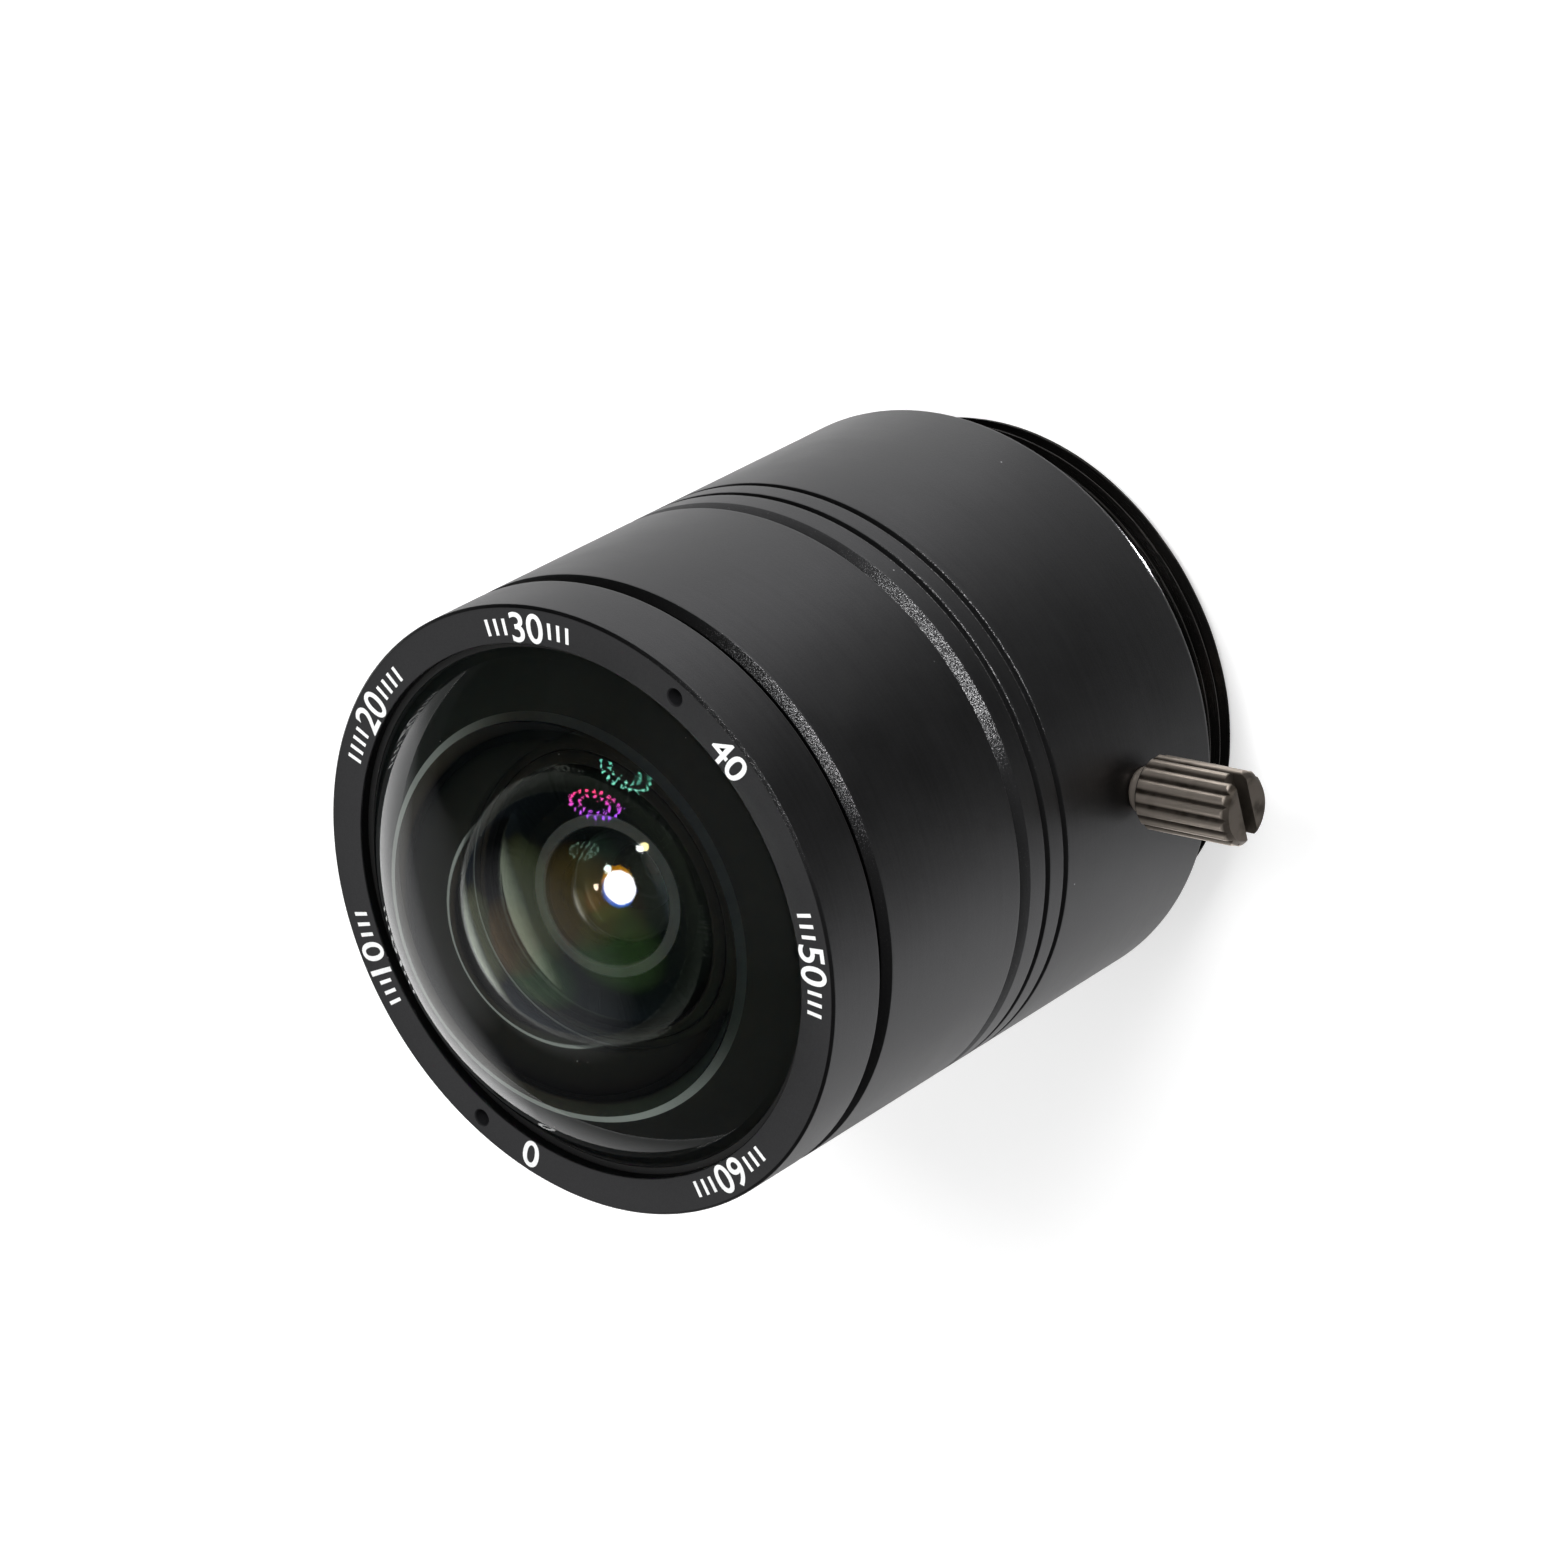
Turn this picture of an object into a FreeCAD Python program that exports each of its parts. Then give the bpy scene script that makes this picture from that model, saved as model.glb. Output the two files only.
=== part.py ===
import FreeCAD, Part

import math
import os

# Fixed-focal lens for a small security camera. Millimetres.
# The optical axis is +Z. The origin is the centre of the mount thread's rear end, where the lens stands.
# The lock screw points along +X. Heights are counted up from the origin, towards the front glass.

# Mount: 1 inch, 32 threads per inch, in front of it the shoulder that meets the camera
mount_thread_r = 12.7
mount_thread_pitch = 0.794
mount_thread_length = 3.9
mount_ring_wall = 2.25
mount_relief_length = 0.7
mount_relief_depth = 0.7
mount_spigot_wall = 1.25
mount_spigot_length = 3.35
mount_bore_chamfer = 0.3
shoulder_recess_depth = 0.25
shoulder_width = 1.5

# Outer shells, from the shoulder to the front face
rear_barrel_length = 14.75
parting_gap = 0.1
focus_ring_length = 9.6
front_gap = 0.5
front_ring_length = 3.25
rear_edge_fillet = 0.4
rear_chamfer_length = 0.65
rear_chamfer_depth = 0.3
groove_width = 0.36
groove_depth = 0.25
groove_setback = 1.94
groove_spacing = 1.36
focus_chamfer = 0.35
front_edge_chamfer = 0.12

# Focus ring, which turns on a neck of the rear barrel and drives the lens cell by a fine thread
focus_neck_wall = 1.15
focus_thread_wall = 1.75
focus_flange_thickness = 1.0
focus_pitch = 0.5
focus_turn = 160.0
neck_length = 3.45
neck_wall = 1.47
retainer_head_thickness = 1.0
retainer_thread_length = 2.2
retainer_slot_width = 1.2
retainer_slot_depth = 0.5
retainer_slot_azimuth = 90.0

# Lens cell
helicoid_room = 0.6
tail_wall = 3.9
tail_overhang = 0.75
collar_wall = 0.47
web_thickness = 0.7
web_width = 1.9
guide_pin_r = 0.5
guide_pin_length = 2.15
guide_pin_reach = 0.95
guide_pin_setback = 10.1
keyway_end_room = 0.6

# Front ring, the seal under its lip and the two spanner holes
front_ring_wall = 1.37
lip_thickness = 0.5
lip_margin = 0.13
seal_overlap = 0.2
seal_thickness = 0.3
spanner_hole_r = 0.38
spanner_hole_depth = 0.9
spanner_azimuth = 58.0

# Glass. A bulge is the height of a curved surface over its rim, and a hollow is its depth.
dome_rise = 5.81
glass1_seat_depth = 1.6
glass1_seat_width = 4.17
glass1_thickness = 1.4
glass1_bevel = 0.28
glass2_step = 0.45
glass2_front_land = 0.5
glass2_front_bulge = 1.38
glass2_ground_width = 4.1
glass2_rear_hollow = 1.6
glass2_edge_thickness = 3.3
glass2_ring_thickness = 0.6
glass3_front_land = 0.1
glass3_front_bulge = 0.96
glass3_rear_bulge = 0.94
glass3_edge_thickness = 1.8
crown_front_bulge = 1.34
crown_edge_thickness = 1.1
cement_depth = 2.74
flint_edge_thickness = 3.6
flint_rear_bulge = 0.64
glass6_front_bulge = 1.18
glass6_rear_bulge = 1.08
glass6_edge_thickness = 1.5
glass7_front_hollow = 1.18
glass7_rear_bulge = 0.87
glass7_edge_thickness = 1.7
stack_land = 1.2

# Spacers, stop and retaining ring behind the web. An airspace is the gap that is left on the axis.
spacer_wall = 0.85
stop_front_airspace = 2.76
stop_thickness = 0.25
stop_hole_r = 2.2
stop_bevel = 0.18
stop_rear_airspace = 0.41
doublet_airspace = 0.38
rear_spacer_length = 1.6
rear_ring_length = 1.4
rear_ring_wall = 1.17
rear_ring_slot_width = 0.8
rear_ring_slot_depth = 0.5
rear_slot_azimuth = 45.0

# Lock screw with a soft tip that presses on the lens cell's tail
screw_setback = 5.6
screw_thread_r = 1.0
screw_pitch = 0.4
screw_neck_r = 1.07
screw_neck_length = 0.65
screw_head_r = 1.72
screw_head_length = 5.0
screw_ridges = 16
screw_ridge_depth = 0.2
screw_rear_chamfer = 0.2
screw_front_chamfer = 0.3
screw_slot_width = 0.6
screw_slot_depth = 0.7
screw_slot_azimuth = 24.0
tip_r = 0.6
tip_length = 0.9
tip_stand_out = 0.3

# Clearances
running_clearance = 0.05
seat_clearance = 0.03
axial_clearance = 0.05
retainer_clearance = 0.1
retainer_tail_clearance = 0.35
tip_clearance = 0.03
screw_seat_clearance = 0.05
keyway_clearance = 0.1
shoulder_clearance = 0.1
seal_clearance = 0.01
cement_thickness = 0.02

# How far a cutting shape runs past the surface that it cuts
overcut = 1.0

# Heights along the axis, worked out from the sizes above
flange_z = mount_thread_length
spigot_bottom_z = flange_z + shoulder_recess_depth
spigot_top_z = spigot_bottom_z + mount_spigot_length
rear_barrel_top_z = flange_z + rear_barrel_length
focus_bottom_z = rear_barrel_top_z + parting_gap
focus_top_z = focus_bottom_z + focus_ring_length
front_ring_bottom_z = focus_top_z + front_gap
front_face_z = front_ring_bottom_z + front_ring_length
neck_top_z = rear_barrel_top_z + neck_length
flange_bottom_z = neck_top_z + axial_clearance
flange_top_z = flange_bottom_z + focus_flange_thickness
head_bottom_z = flange_top_z + axial_clearance
head_top_z = head_bottom_z + retainer_head_thickness
lip_bottom_z = front_face_z - lip_thickness
collar_top_z = lip_bottom_z - seal_thickness
collar_bottom_z = front_ring_bottom_z + axial_clearance
helicoid_bottom_z = head_top_z + helicoid_room
glass1_seat_z = front_face_z - glass1_seat_depth
web_top_z = glass1_seat_z - glass2_edge_thickness - glass2_ring_thickness - axial_clearance
web_bottom_z = web_top_z - web_thickness
glass2_rim_z = web_top_z + glass2_edge_thickness
screw_z = flange_z + screw_setback
guide_pin_z = flange_z + guide_pin_setback

# The stack in the rear bore, from the web down to the retaining ring
long_spacer_length = glass3_rear_bulge + stop_front_airspace
stop_spacer_length = crown_front_bulge + stop_rear_airspace
doublet_spacer_length = flint_rear_bulge + doublet_airspace + glass6_front_bulge
glass3_top_z = web_bottom_z
long_spacer_top_z = glass3_top_z - glass3_edge_thickness
stop_top_z = long_spacer_top_z - long_spacer_length
stop_spacer_top_z = stop_top_z - stop_thickness
crown_top_z = stop_spacer_top_z - stop_spacer_length
cement_edge_z = crown_top_z - crown_edge_thickness
flint_edge_z = cement_edge_z - cement_thickness
doublet_spacer_top_z = flint_edge_z - flint_edge_thickness
glass6_top_z = doublet_spacer_top_z - doublet_spacer_length
rear_spacer_top_z = glass6_top_z - glass6_edge_thickness
glass7_top_z = rear_spacer_top_z - rear_spacer_length
rear_ring_top_z = glass7_top_z - glass7_edge_thickness
rear_ring_bottom_z = rear_ring_top_z - rear_ring_length
tail_bottom_z = rear_ring_bottom_z - tail_overhang

# Radii from the mount thread outwards and inwards, each from its neighbour and a wall or a fit
barrel_r = mount_thread_r + shoulder_width
slide_bore_r = mount_thread_r - mount_ring_wall
mount_spigot_r = slide_bore_r + mount_spigot_wall
tail_r = slide_bore_r - running_clearance
rear_bore_r = tail_r - tail_wall
neck_bore_r = barrel_r - focus_neck_wall
neck_r = neck_bore_r - running_clearance
helicoid_bore_r = barrel_r - focus_thread_wall
helicoid_r = helicoid_bore_r - running_clearance
retainer_bore_r = tail_r + retainer_tail_clearance
retainer_head_r = helicoid_bore_r - retainer_clearance
neck_thread_r = neck_r - neck_wall
retainer_neck_r = neck_thread_r - seat_clearance
focus_flange_r = retainer_neck_r + retainer_clearance
ring_thread_r = barrel_r - front_ring_wall
collar_r = ring_thread_r - seat_clearance
glass1_bore_r = collar_r - collar_wall
glass1_edge_r = glass1_bore_r - seat_clearance
opening_r = glass1_edge_r + lip_margin
seal_inner_r = glass1_edge_r - seal_overlap
spanner_circle_r = (opening_r + barrel_r) / 2
glass1_rim_r = glass1_edge_r - glass1_seat_width - glass1_bevel
glass2_edge_r = glass1_rim_r - glass2_step
glass2_bore_r = glass2_edge_r + seat_clearance
glass2_clear_r = glass2_edge_r - glass2_front_land
glass2_rim_r = glass2_edge_r - glass2_ground_width
web_r = rear_bore_r - web_width
stack_edge_r = rear_bore_r - seat_clearance
stack_clear_r = stack_edge_r - stack_land
stack_inner_r = stack_edge_r - spacer_wall

# Places along the lock screw's axis
screw_tip_x = tail_r + tip_clearance
screw_seat_x = barrel_r + screw_seat_clearance
screw_head_x = screw_seat_x + screw_neck_length
screw_end_x = screw_head_x + screw_head_length

Vector = FreeCAD.Vector
axis_z = Vector(0, 0, 1)
axis_x = Vector(1, 0, 0)


def curve_of(rim_r, rise):
    """Radius of the sphere whose cap has this rim and this height."""
    return (rim_r * rim_r + rise * rise) / (2 * rise)


def cap_height(rim_r, rise, radius):
    """Height over the rim's plane of the cap with this rim and this height, at a distance from its axis."""
    curve = curve_of(rim_r, rise)
    return math.copysign(math.sqrt(curve * curve - radius * radius), rise) - curve + rise


def turned(outline):
    """Solid of revolution about Z. The outline is points (r, z); a third item is an arc's middle point."""
    edges = []
    places = [Vector(point[0], 0, point[1]) for point in outline]
    for index, point in enumerate(outline):
        start, end = places[index - 1], places[index]
        if len(point) == 3:
            middle = Vector(point[2][0], 0, point[2][1])
            edges.append(Part.Arc(start, middle, end).toShape())
        elif start.distanceToPoint(end) > 1e-7:
            edges.append(Part.LineSegment(start, end).toShape())
    face = Part.Face(Part.Wire(edges))
    solid = face.revolve(Vector(0, 0, 0), axis_z, 360)
    return solid if solid.Volume > 0 else solid.reversed()


def tube(inner, outer, bottom, top):
    """Plain ring."""
    return turned([(inner, bottom), (outer, bottom), (outer, top), (inner, top)])


def cap(rim_r, rim_z, rise):
    """Vertex of a spherical surface on the axis, and the middle of its arc out to the rim."""
    half = rim_r / 2
    return (0, rim_z + rise), (half, rim_z + cap_height(rim_r, rise, half))


def lens(edge_r, top, bottom, front, rear):
    """Glass disc. front and rear are (clear radius, rise); the rise is below 0 where the middle is lower."""
    front_clear, front_rise = front
    rear_clear, rear_rise = rear
    front_vertex, front_middle = cap(front_clear, top, front_rise)
    rear_vertex, rear_middle = cap(rear_clear, bottom, rear_rise)
    return turned([
        front_vertex,
        (front_clear, top, front_middle),
        (edge_r, top),
        (edge_r, bottom),
        (rear_clear, bottom),
        (*rear_vertex, rear_middle),
    ])


def across(width, depth, reach, height, azimuth):
    """Bar for cutting a slot right across the Z axis, its floor at a height."""
    bar = Part.makeBox(2 * reach, width, depth, Vector(-reach, -width / 2, height))
    bar.rotate(Vector(0, 0, 0), axis_z, azimuth)
    return bar


def mount_ring():
    """Threaded ring, pressed into the rear barrel by its spigot. The thread is at its major radius."""
    relief_bottom = flange_z - mount_relief_length
    relief_r = mount_thread_r - mount_relief_depth
    return turned([
        (slide_bore_r + mount_bore_chamfer, 0),
        (mount_thread_r, 0),
        (mount_thread_r, relief_bottom),
        (relief_r, relief_bottom),
        (relief_r, spigot_bottom_z),
        (mount_spigot_r, spigot_bottom_z),
        (mount_spigot_r, spigot_top_z),
        (slide_bore_r, spigot_top_z),
        (slide_bore_r, mount_bore_chamfer),
    ])


def vee_groove(height):
    """Fine V groove turned into the barrel."""
    return turned([
        (barrel_r - groove_depth, height),
        (barrel_r + groove_depth, height - groove_width),
        (barrel_r + groove_depth, height + groove_width),
    ])


def rear_barrel():
    """Fixed shell with the shoulder, the neck for the focus ring, the keyway and the screw's hole."""
    spigot_bore_r = mount_spigot_r + seat_clearance
    recess_r = mount_thread_r + shoulder_clearance
    thread_bottom = neck_top_z - retainer_thread_length - axial_clearance
    turn = rear_edge_fillet * (1 - math.sqrt(0.5))
    body = turned([
        (spigot_bore_r, spigot_bottom_z),
        (recess_r, spigot_bottom_z),
        (recess_r, flange_z),
        (barrel_r - rear_edge_fillet, flange_z),
        (barrel_r, flange_z + rear_edge_fillet, (barrel_r - turn, flange_z + turn)),
        (barrel_r, rear_barrel_top_z - rear_chamfer_length),
        (barrel_r - rear_chamfer_depth, rear_barrel_top_z),
        (neck_r, rear_barrel_top_z),
        (neck_r, neck_top_z),
        (neck_thread_r, neck_top_z),
        (neck_thread_r, thread_bottom),
        (slide_bore_r, thread_bottom),
        (slide_bore_r, spigot_top_z),
        (spigot_bore_r, spigot_top_z),
    ])
    first_groove_z = rear_barrel_top_z - groove_setback
    for number in range(2):
        body = body.cut(vee_groove(first_groove_z - number * groove_spacing))
    keyway_bottom = guide_pin_z - guide_pin_r - keyway_end_room
    keyway_r = tail_r + guide_pin_reach + keyway_clearance
    keyway_width = 2 * (guide_pin_r + running_clearance)
    inside_r = tail_r / 2
    keyway = Part.makeBox(keyway_r - inside_r, keyway_width, neck_top_z - keyway_bottom + overcut,
                          Vector(-keyway_r, -keyway_width / 2, keyway_bottom))
    hole_start = Vector(inside_r, 0, screw_z)
    hole = Part.makeCylinder(screw_thread_r, barrel_r - inside_r + overcut, hole_start, axis_x)
    return body.cut(keyway).cut(hole)


def focus_ring():
    """Outer sleeve that turns. Its inner flange is caught between the neck and the retainer."""
    return turned([
        (neck_bore_r, focus_bottom_z),
        (barrel_r, focus_bottom_z),
        (barrel_r, focus_top_z - focus_chamfer),
        (barrel_r - focus_chamfer, focus_top_z),
        (helicoid_bore_r, focus_top_z),
        (helicoid_bore_r, flange_top_z),
        (focus_flange_r, flange_top_z),
        (focus_flange_r, flange_bottom_z),
        (neck_bore_r, flange_bottom_z),
    ])


def focus_retainer():
    """Flanged ring screwed into the neck, which holds the focus ring on it."""
    thread_bottom = neck_top_z - retainer_thread_length
    ring = turned([
        (retainer_bore_r, thread_bottom),
        (retainer_neck_r, thread_bottom),
        (retainer_neck_r, head_bottom_z),
        (retainer_head_r, head_bottom_z),
        (retainer_head_r, head_top_z),
        (retainer_bore_r, head_top_z),
    ])
    slot = across(retainer_slot_width, retainer_slot_depth, barrel_r, head_top_z - retainer_slot_depth,
                  retainer_slot_azimuth)
    return ring.cut(slot)


def lens_cell():
    """Inner barrel that carries all the glass and slides along the axis."""
    body = turned([
        (rear_bore_r, tail_bottom_z),
        (tail_r, tail_bottom_z),
        (tail_r, helicoid_bottom_z),
        (helicoid_r, helicoid_bottom_z),
        (helicoid_r, collar_bottom_z),
        (collar_r, collar_bottom_z),
        (collar_r, collar_top_z),
        (glass1_bore_r, collar_top_z),
        (glass1_bore_r, glass1_seat_z),
        (glass2_bore_r, glass1_seat_z),
        (glass2_bore_r, web_top_z),
        (web_r, web_top_z),
        (web_r, web_bottom_z),
        (rear_bore_r, web_bottom_z),
    ])
    return body.cut(guide_pin())


def guide_pin():
    """Pin in the lens cell's tail. It runs in the keyway, so that the glass doesn't turn."""
    pin_root = tail_r + guide_pin_reach - guide_pin_length
    return Part.makeCylinder(guide_pin_r, guide_pin_length, Vector(-pin_root, 0, guide_pin_z), -axis_x)


def front_ring():
    """Ring screwed on the cell's collar, with a lip over the seal and two blind spanner holes."""
    ring = turned([
        (ring_thread_r, front_ring_bottom_z),
        (barrel_r, front_ring_bottom_z),
        (barrel_r, front_face_z - front_edge_chamfer),
        (barrel_r - front_edge_chamfer, front_face_z),
        (opening_r, front_face_z),
        (opening_r, lip_bottom_z),
        (ring_thread_r, lip_bottom_z),
    ])
    for turn in (0, 180):
        azimuth = math.radians(spanner_azimuth + turn)
        place = Vector(spanner_circle_r * math.cos(azimuth), spanner_circle_r * math.sin(azimuth),
                       front_face_z - spanner_hole_depth)
        ring = ring.cut(Part.makeCylinder(spanner_hole_r, spanner_hole_depth + overcut, place, axis_z))
    return ring


def dome_z(radius):
    """Height of the front glass's outer surface, which meets the seal's inner edge at the lip's underside."""
    return lip_bottom_z + cap_height(seal_inner_r, dome_rise, radius)


def front_seal():
    """Black rubber ring between the lip, the collar and the dome's edge."""
    inner_r = seal_inner_r + seal_clearance
    middle_r = (inner_r + glass1_bore_r) / 2
    middle = (middle_r, dome_z(middle_r) + seal_clearance)
    return turned([
        (inner_r, lip_bottom_z),
        (glass1_bore_r, dome_z(glass1_bore_r) + seal_clearance, middle),
        (glass1_bore_r, collar_top_z),
        (collar_r, collar_top_z),
        (collar_r, lip_bottom_z),
    ])


def front_element():
    """Deep meniscus: a dome in front, a nearly half-round hollow behind, a flat seat around it."""
    middle_r = glass1_edge_r / 2
    rim_z = glass1_seat_z + glass1_bevel
    hollow_vertex, hollow_middle = cap(glass1_rim_r, rim_z, dome_z(0) - glass1_thickness - rim_z)
    return turned([
        (0, dome_z(0)),
        (glass1_edge_r, dome_z(glass1_edge_r), (middle_r, dome_z(middle_r))),
        (glass1_edge_r, glass1_seat_z),
        (glass1_rim_r + glass1_bevel, glass1_seat_z),
        (glass1_rim_r, rim_z),
        (*hollow_vertex, hollow_middle),
    ])


def second_element_ring():
    """Thin threaded ring that holds the second element from the front."""
    return tube(glass2_clear_r, glass2_edge_r, glass2_rim_z, glass2_rim_z + glass2_ring_thickness)


def second_element():
    """Meniscus with a small deep hollow behind, inside a flat ground ring."""
    return lens(glass2_edge_r, glass2_rim_z, web_top_z,
                (glass2_clear_r, glass2_front_bulge), (glass2_rim_r, glass2_rear_hollow))


def third_element():
    """Thick positive element behind the web."""
    return lens(stack_edge_r, glass3_top_z, long_spacer_top_z,
                (web_r - glass3_front_land, glass3_front_bulge), (stack_clear_r, -glass3_rear_bulge))


def long_spacer():
    """Spacer between the third element and the stop."""
    return tube(stack_inner_r, stack_edge_r, stop_top_z, long_spacer_top_z)


def aperture_stop():
    """Thin fixed stop with a bevelled hole."""
    bottom = stop_spacer_top_z
    return turned([
        (stop_hole_r + stop_bevel, bottom),
        (stack_edge_r, bottom),
        (stack_edge_r, stop_top_z),
        (stop_hole_r, stop_top_z),
    ])


def stop_spacer():
    """Spacer behind the stop."""
    return tube(stack_inner_r, stack_edge_r, crown_top_z, stop_spacer_top_z)


def doublet_crown():
    """Front half of the cemented pair."""
    front_vertex, front_middle = cap(stack_clear_r, crown_top_z, crown_front_bulge)
    cement_vertex, cement_middle = cap(stack_edge_r, cement_edge_z, -cement_depth)
    return turned([
        front_vertex,
        (stack_clear_r, crown_top_z, front_middle),
        (stack_edge_r, crown_top_z),
        (stack_edge_r, cement_edge_z),
        (*cement_vertex, cement_middle),
    ])


def doublet_flint():
    """Rear half of the cemented pair, a film of cement behind the front half."""
    cement_vertex, cement_middle = cap(stack_edge_r, flint_edge_z, -cement_depth)
    rear_vertex, rear_middle = cap(stack_clear_r, doublet_spacer_top_z, -flint_rear_bulge)
    return turned([
        cement_vertex,
        (stack_edge_r, flint_edge_z, cement_middle),
        (stack_edge_r, doublet_spacer_top_z),
        (stack_clear_r, doublet_spacer_top_z),
        (*rear_vertex, rear_middle),
    ])


def doublet_spacer():
    """Spacer between the cemented pair and the sixth element."""
    return tube(stack_inner_r, stack_edge_r, glass6_top_z, doublet_spacer_top_z)


def sixth_element():
    """Positive element of the rear group."""
    return lens(stack_edge_r, glass6_top_z, rear_spacer_top_z,
                (stack_clear_r, glass6_front_bulge), (stack_clear_r, -glass6_rear_bulge))


def rear_spacer():
    """Spacer between the sixth element and the rear element."""
    return tube(stack_inner_r, stack_edge_r, glass7_top_z, rear_spacer_top_z)


def rear_element():
    """Last element, hollow in front and domed behind."""
    return lens(stack_edge_r, glass7_top_z, rear_ring_top_z,
                (stack_clear_r, -glass7_front_hollow), (stack_clear_r, -glass7_rear_bulge))


def rear_retaining_ring():
    """Threaded ring that closes the stack, slotted across for a spanner."""
    ring = tube(stack_edge_r - rear_ring_wall, stack_edge_r, rear_ring_bottom_z, rear_ring_top_z)
    slot = across(rear_ring_slot_width, rear_ring_slot_depth, rear_bore_r, rear_ring_bottom_z,
                  rear_slot_azimuth)
    return ring.cut(slot)


def turned_screw(outline):
    """Solid of revolution about the lock screw's axis. The outline is points (r, x)."""
    solid = turned(outline)
    solid.rotate(Vector(0, 0, 0), Vector(0, 1, 0), 90)
    solid.translate(Vector(0, 0, screw_z))
    return solid


def knurled_bar():
    """Bar of the head's length with round ridges along it."""
    step = 2 * math.pi / screw_ridges
    valley_r = screw_head_r - screw_ridge_depth
    edges = []
    for number in range(screw_ridges):
        corners = []
        for share, radius in ((0, valley_r), (0.5, screw_head_r), (1, valley_r)):
            angle = (number + share) * step
            corners.append(Vector(screw_head_x, radius * math.cos(angle), screw_z + radius * math.sin(angle)))
        edges.append(Part.Arc(*corners).toShape())
    return Part.Face(Part.Wire(edges)).extrude(Vector(screw_head_length, 0, 0))


def thumb_screw():
    """Knurled, slotted screw. Its thread is at the major radius, less its clearance."""
    shank_r = screw_thread_r - running_clearance
    shank_end = screw_tip_x + tip_stand_out
    socket_r = tip_r + seat_clearance
    socket_end = screw_tip_x + tip_length + axial_clearance
    shank = turned_screw([
        (0, socket_end),
        (socket_r, socket_end),
        (socket_r, shank_end),
        (shank_r, shank_end),
        (shank_r, screw_seat_x),
        (screw_neck_r, screw_seat_x),
        (screw_neck_r, screw_head_x),
        (0, screw_head_x),
    ])
    envelope = turned_screw([
        (0, screw_head_x),
        (screw_head_r - screw_rear_chamfer, screw_head_x),
        (screw_head_r, screw_head_x + screw_rear_chamfer),
        (screw_head_r, screw_end_x - screw_front_chamfer),
        (screw_head_r - screw_front_chamfer, screw_end_x),
        (0, screw_end_x),
    ])
    head = knurled_bar().common(envelope)
    reach = screw_head_r + overcut
    slot = Part.makeBox(screw_slot_depth + overcut, 2 * reach, screw_slot_width,
                        Vector(screw_end_x - screw_slot_depth, -reach, screw_z - screw_slot_width / 2))
    slot.rotate(Vector(0, 0, screw_z), axis_x, screw_slot_azimuth)
    return shank.fuse(head.cut(slot)).removeSplitter()


def screw_tip():
    """Soft plug in the screw's end, so that the screw doesn't mark the lens cell."""
    return Part.makeCylinder(tip_r, tip_length, Vector(screw_tip_x, 0, screw_z), axis_x)


sub_parts = (
    mount_ring, rear_barrel, focus_ring, focus_retainer, lens_cell, guide_pin, front_ring, front_seal,
    front_element, second_element_ring, second_element, third_element, long_spacer, aperture_stop,
    stop_spacer, doublet_crown, doublet_flint, doublet_spacer, sixth_element, rear_spacer, rear_element,
    rear_retaining_ring, thumb_screw, screw_tip,
)

os.makedirs("parts", exist_ok=True)
for sub_part in sub_parts:
    shape = sub_part()
    shape.exportStep("parts/" + sub_part.__name__ + ".step")
    box = shape.BoundBox
    print(sub_part.__name__, "valid", shape.isValid(), "solids", len(shape.Solids),
          "volume %.1f" % shape.Volume, "z %.2f to %.2f" % (box.ZMin, box.ZMax))
cell_travel = focus_pitch * focus_turn / 360
screw_travel = screw_pitch
print("lens cell travel each way %.3f, screw travel %.3f" % (cell_travel, screw_travel))
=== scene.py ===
import bpy
import math
import numpy as np
from mathutils import Matrix


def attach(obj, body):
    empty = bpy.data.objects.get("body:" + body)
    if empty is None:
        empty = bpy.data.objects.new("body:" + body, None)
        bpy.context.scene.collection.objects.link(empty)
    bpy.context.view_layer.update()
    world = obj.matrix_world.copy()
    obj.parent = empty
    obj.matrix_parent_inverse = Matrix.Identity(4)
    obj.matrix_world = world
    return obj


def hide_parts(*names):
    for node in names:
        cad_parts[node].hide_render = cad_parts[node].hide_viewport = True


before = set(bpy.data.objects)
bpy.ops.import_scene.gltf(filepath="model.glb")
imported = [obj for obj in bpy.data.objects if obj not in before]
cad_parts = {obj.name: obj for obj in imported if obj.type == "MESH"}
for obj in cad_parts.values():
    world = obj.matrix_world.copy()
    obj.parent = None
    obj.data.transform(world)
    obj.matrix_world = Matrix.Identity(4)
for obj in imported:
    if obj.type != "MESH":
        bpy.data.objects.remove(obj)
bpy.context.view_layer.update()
print("frame loaded with", len(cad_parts), "nodes")

mm = 0.001                                          # every size below is in millimetres

# numbers that several pieces share
shared = {
    "barrelR": 14.2,
    "flangeZ": 3.9,
    "rearTopZ": 18.65,
    "frontFaceZ": 32.1,
    "dome": {"rimR": 12.1, "rimZ": 31.6, "rise": 5.81},
    "screwZ": 9.5,
    "pinZ": 14.0,
}


# shapes

def around(count):
    # turns of a full circle: 2 pi x number / count
    return np.arange(count) * 2 * math.pi / count


def unit(vector):
    vector = np.asarray(vector, float)
    return vector / np.linalg.norm(vector)


def capCurve(rimR, rise):
    # radius of a sphere from a cap's rim and rise, below 0 for a hollow: (rim^2 + rise^2) / (2 x rise)
    return (rimR ** 2 + rise ** 2) / (2 * rise)


def capZ(rimR, rimZ, rise, r):
    # height of a cap at a distance r from the axis: z = rim + rise - curve + sqrt(curve^2 - r^2)
    curve = capCurve(rimR, rise)
    return rimZ + rise - curve + math.copysign(1, rise) * np.sqrt(curve ** 2 - r ** 2)


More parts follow.
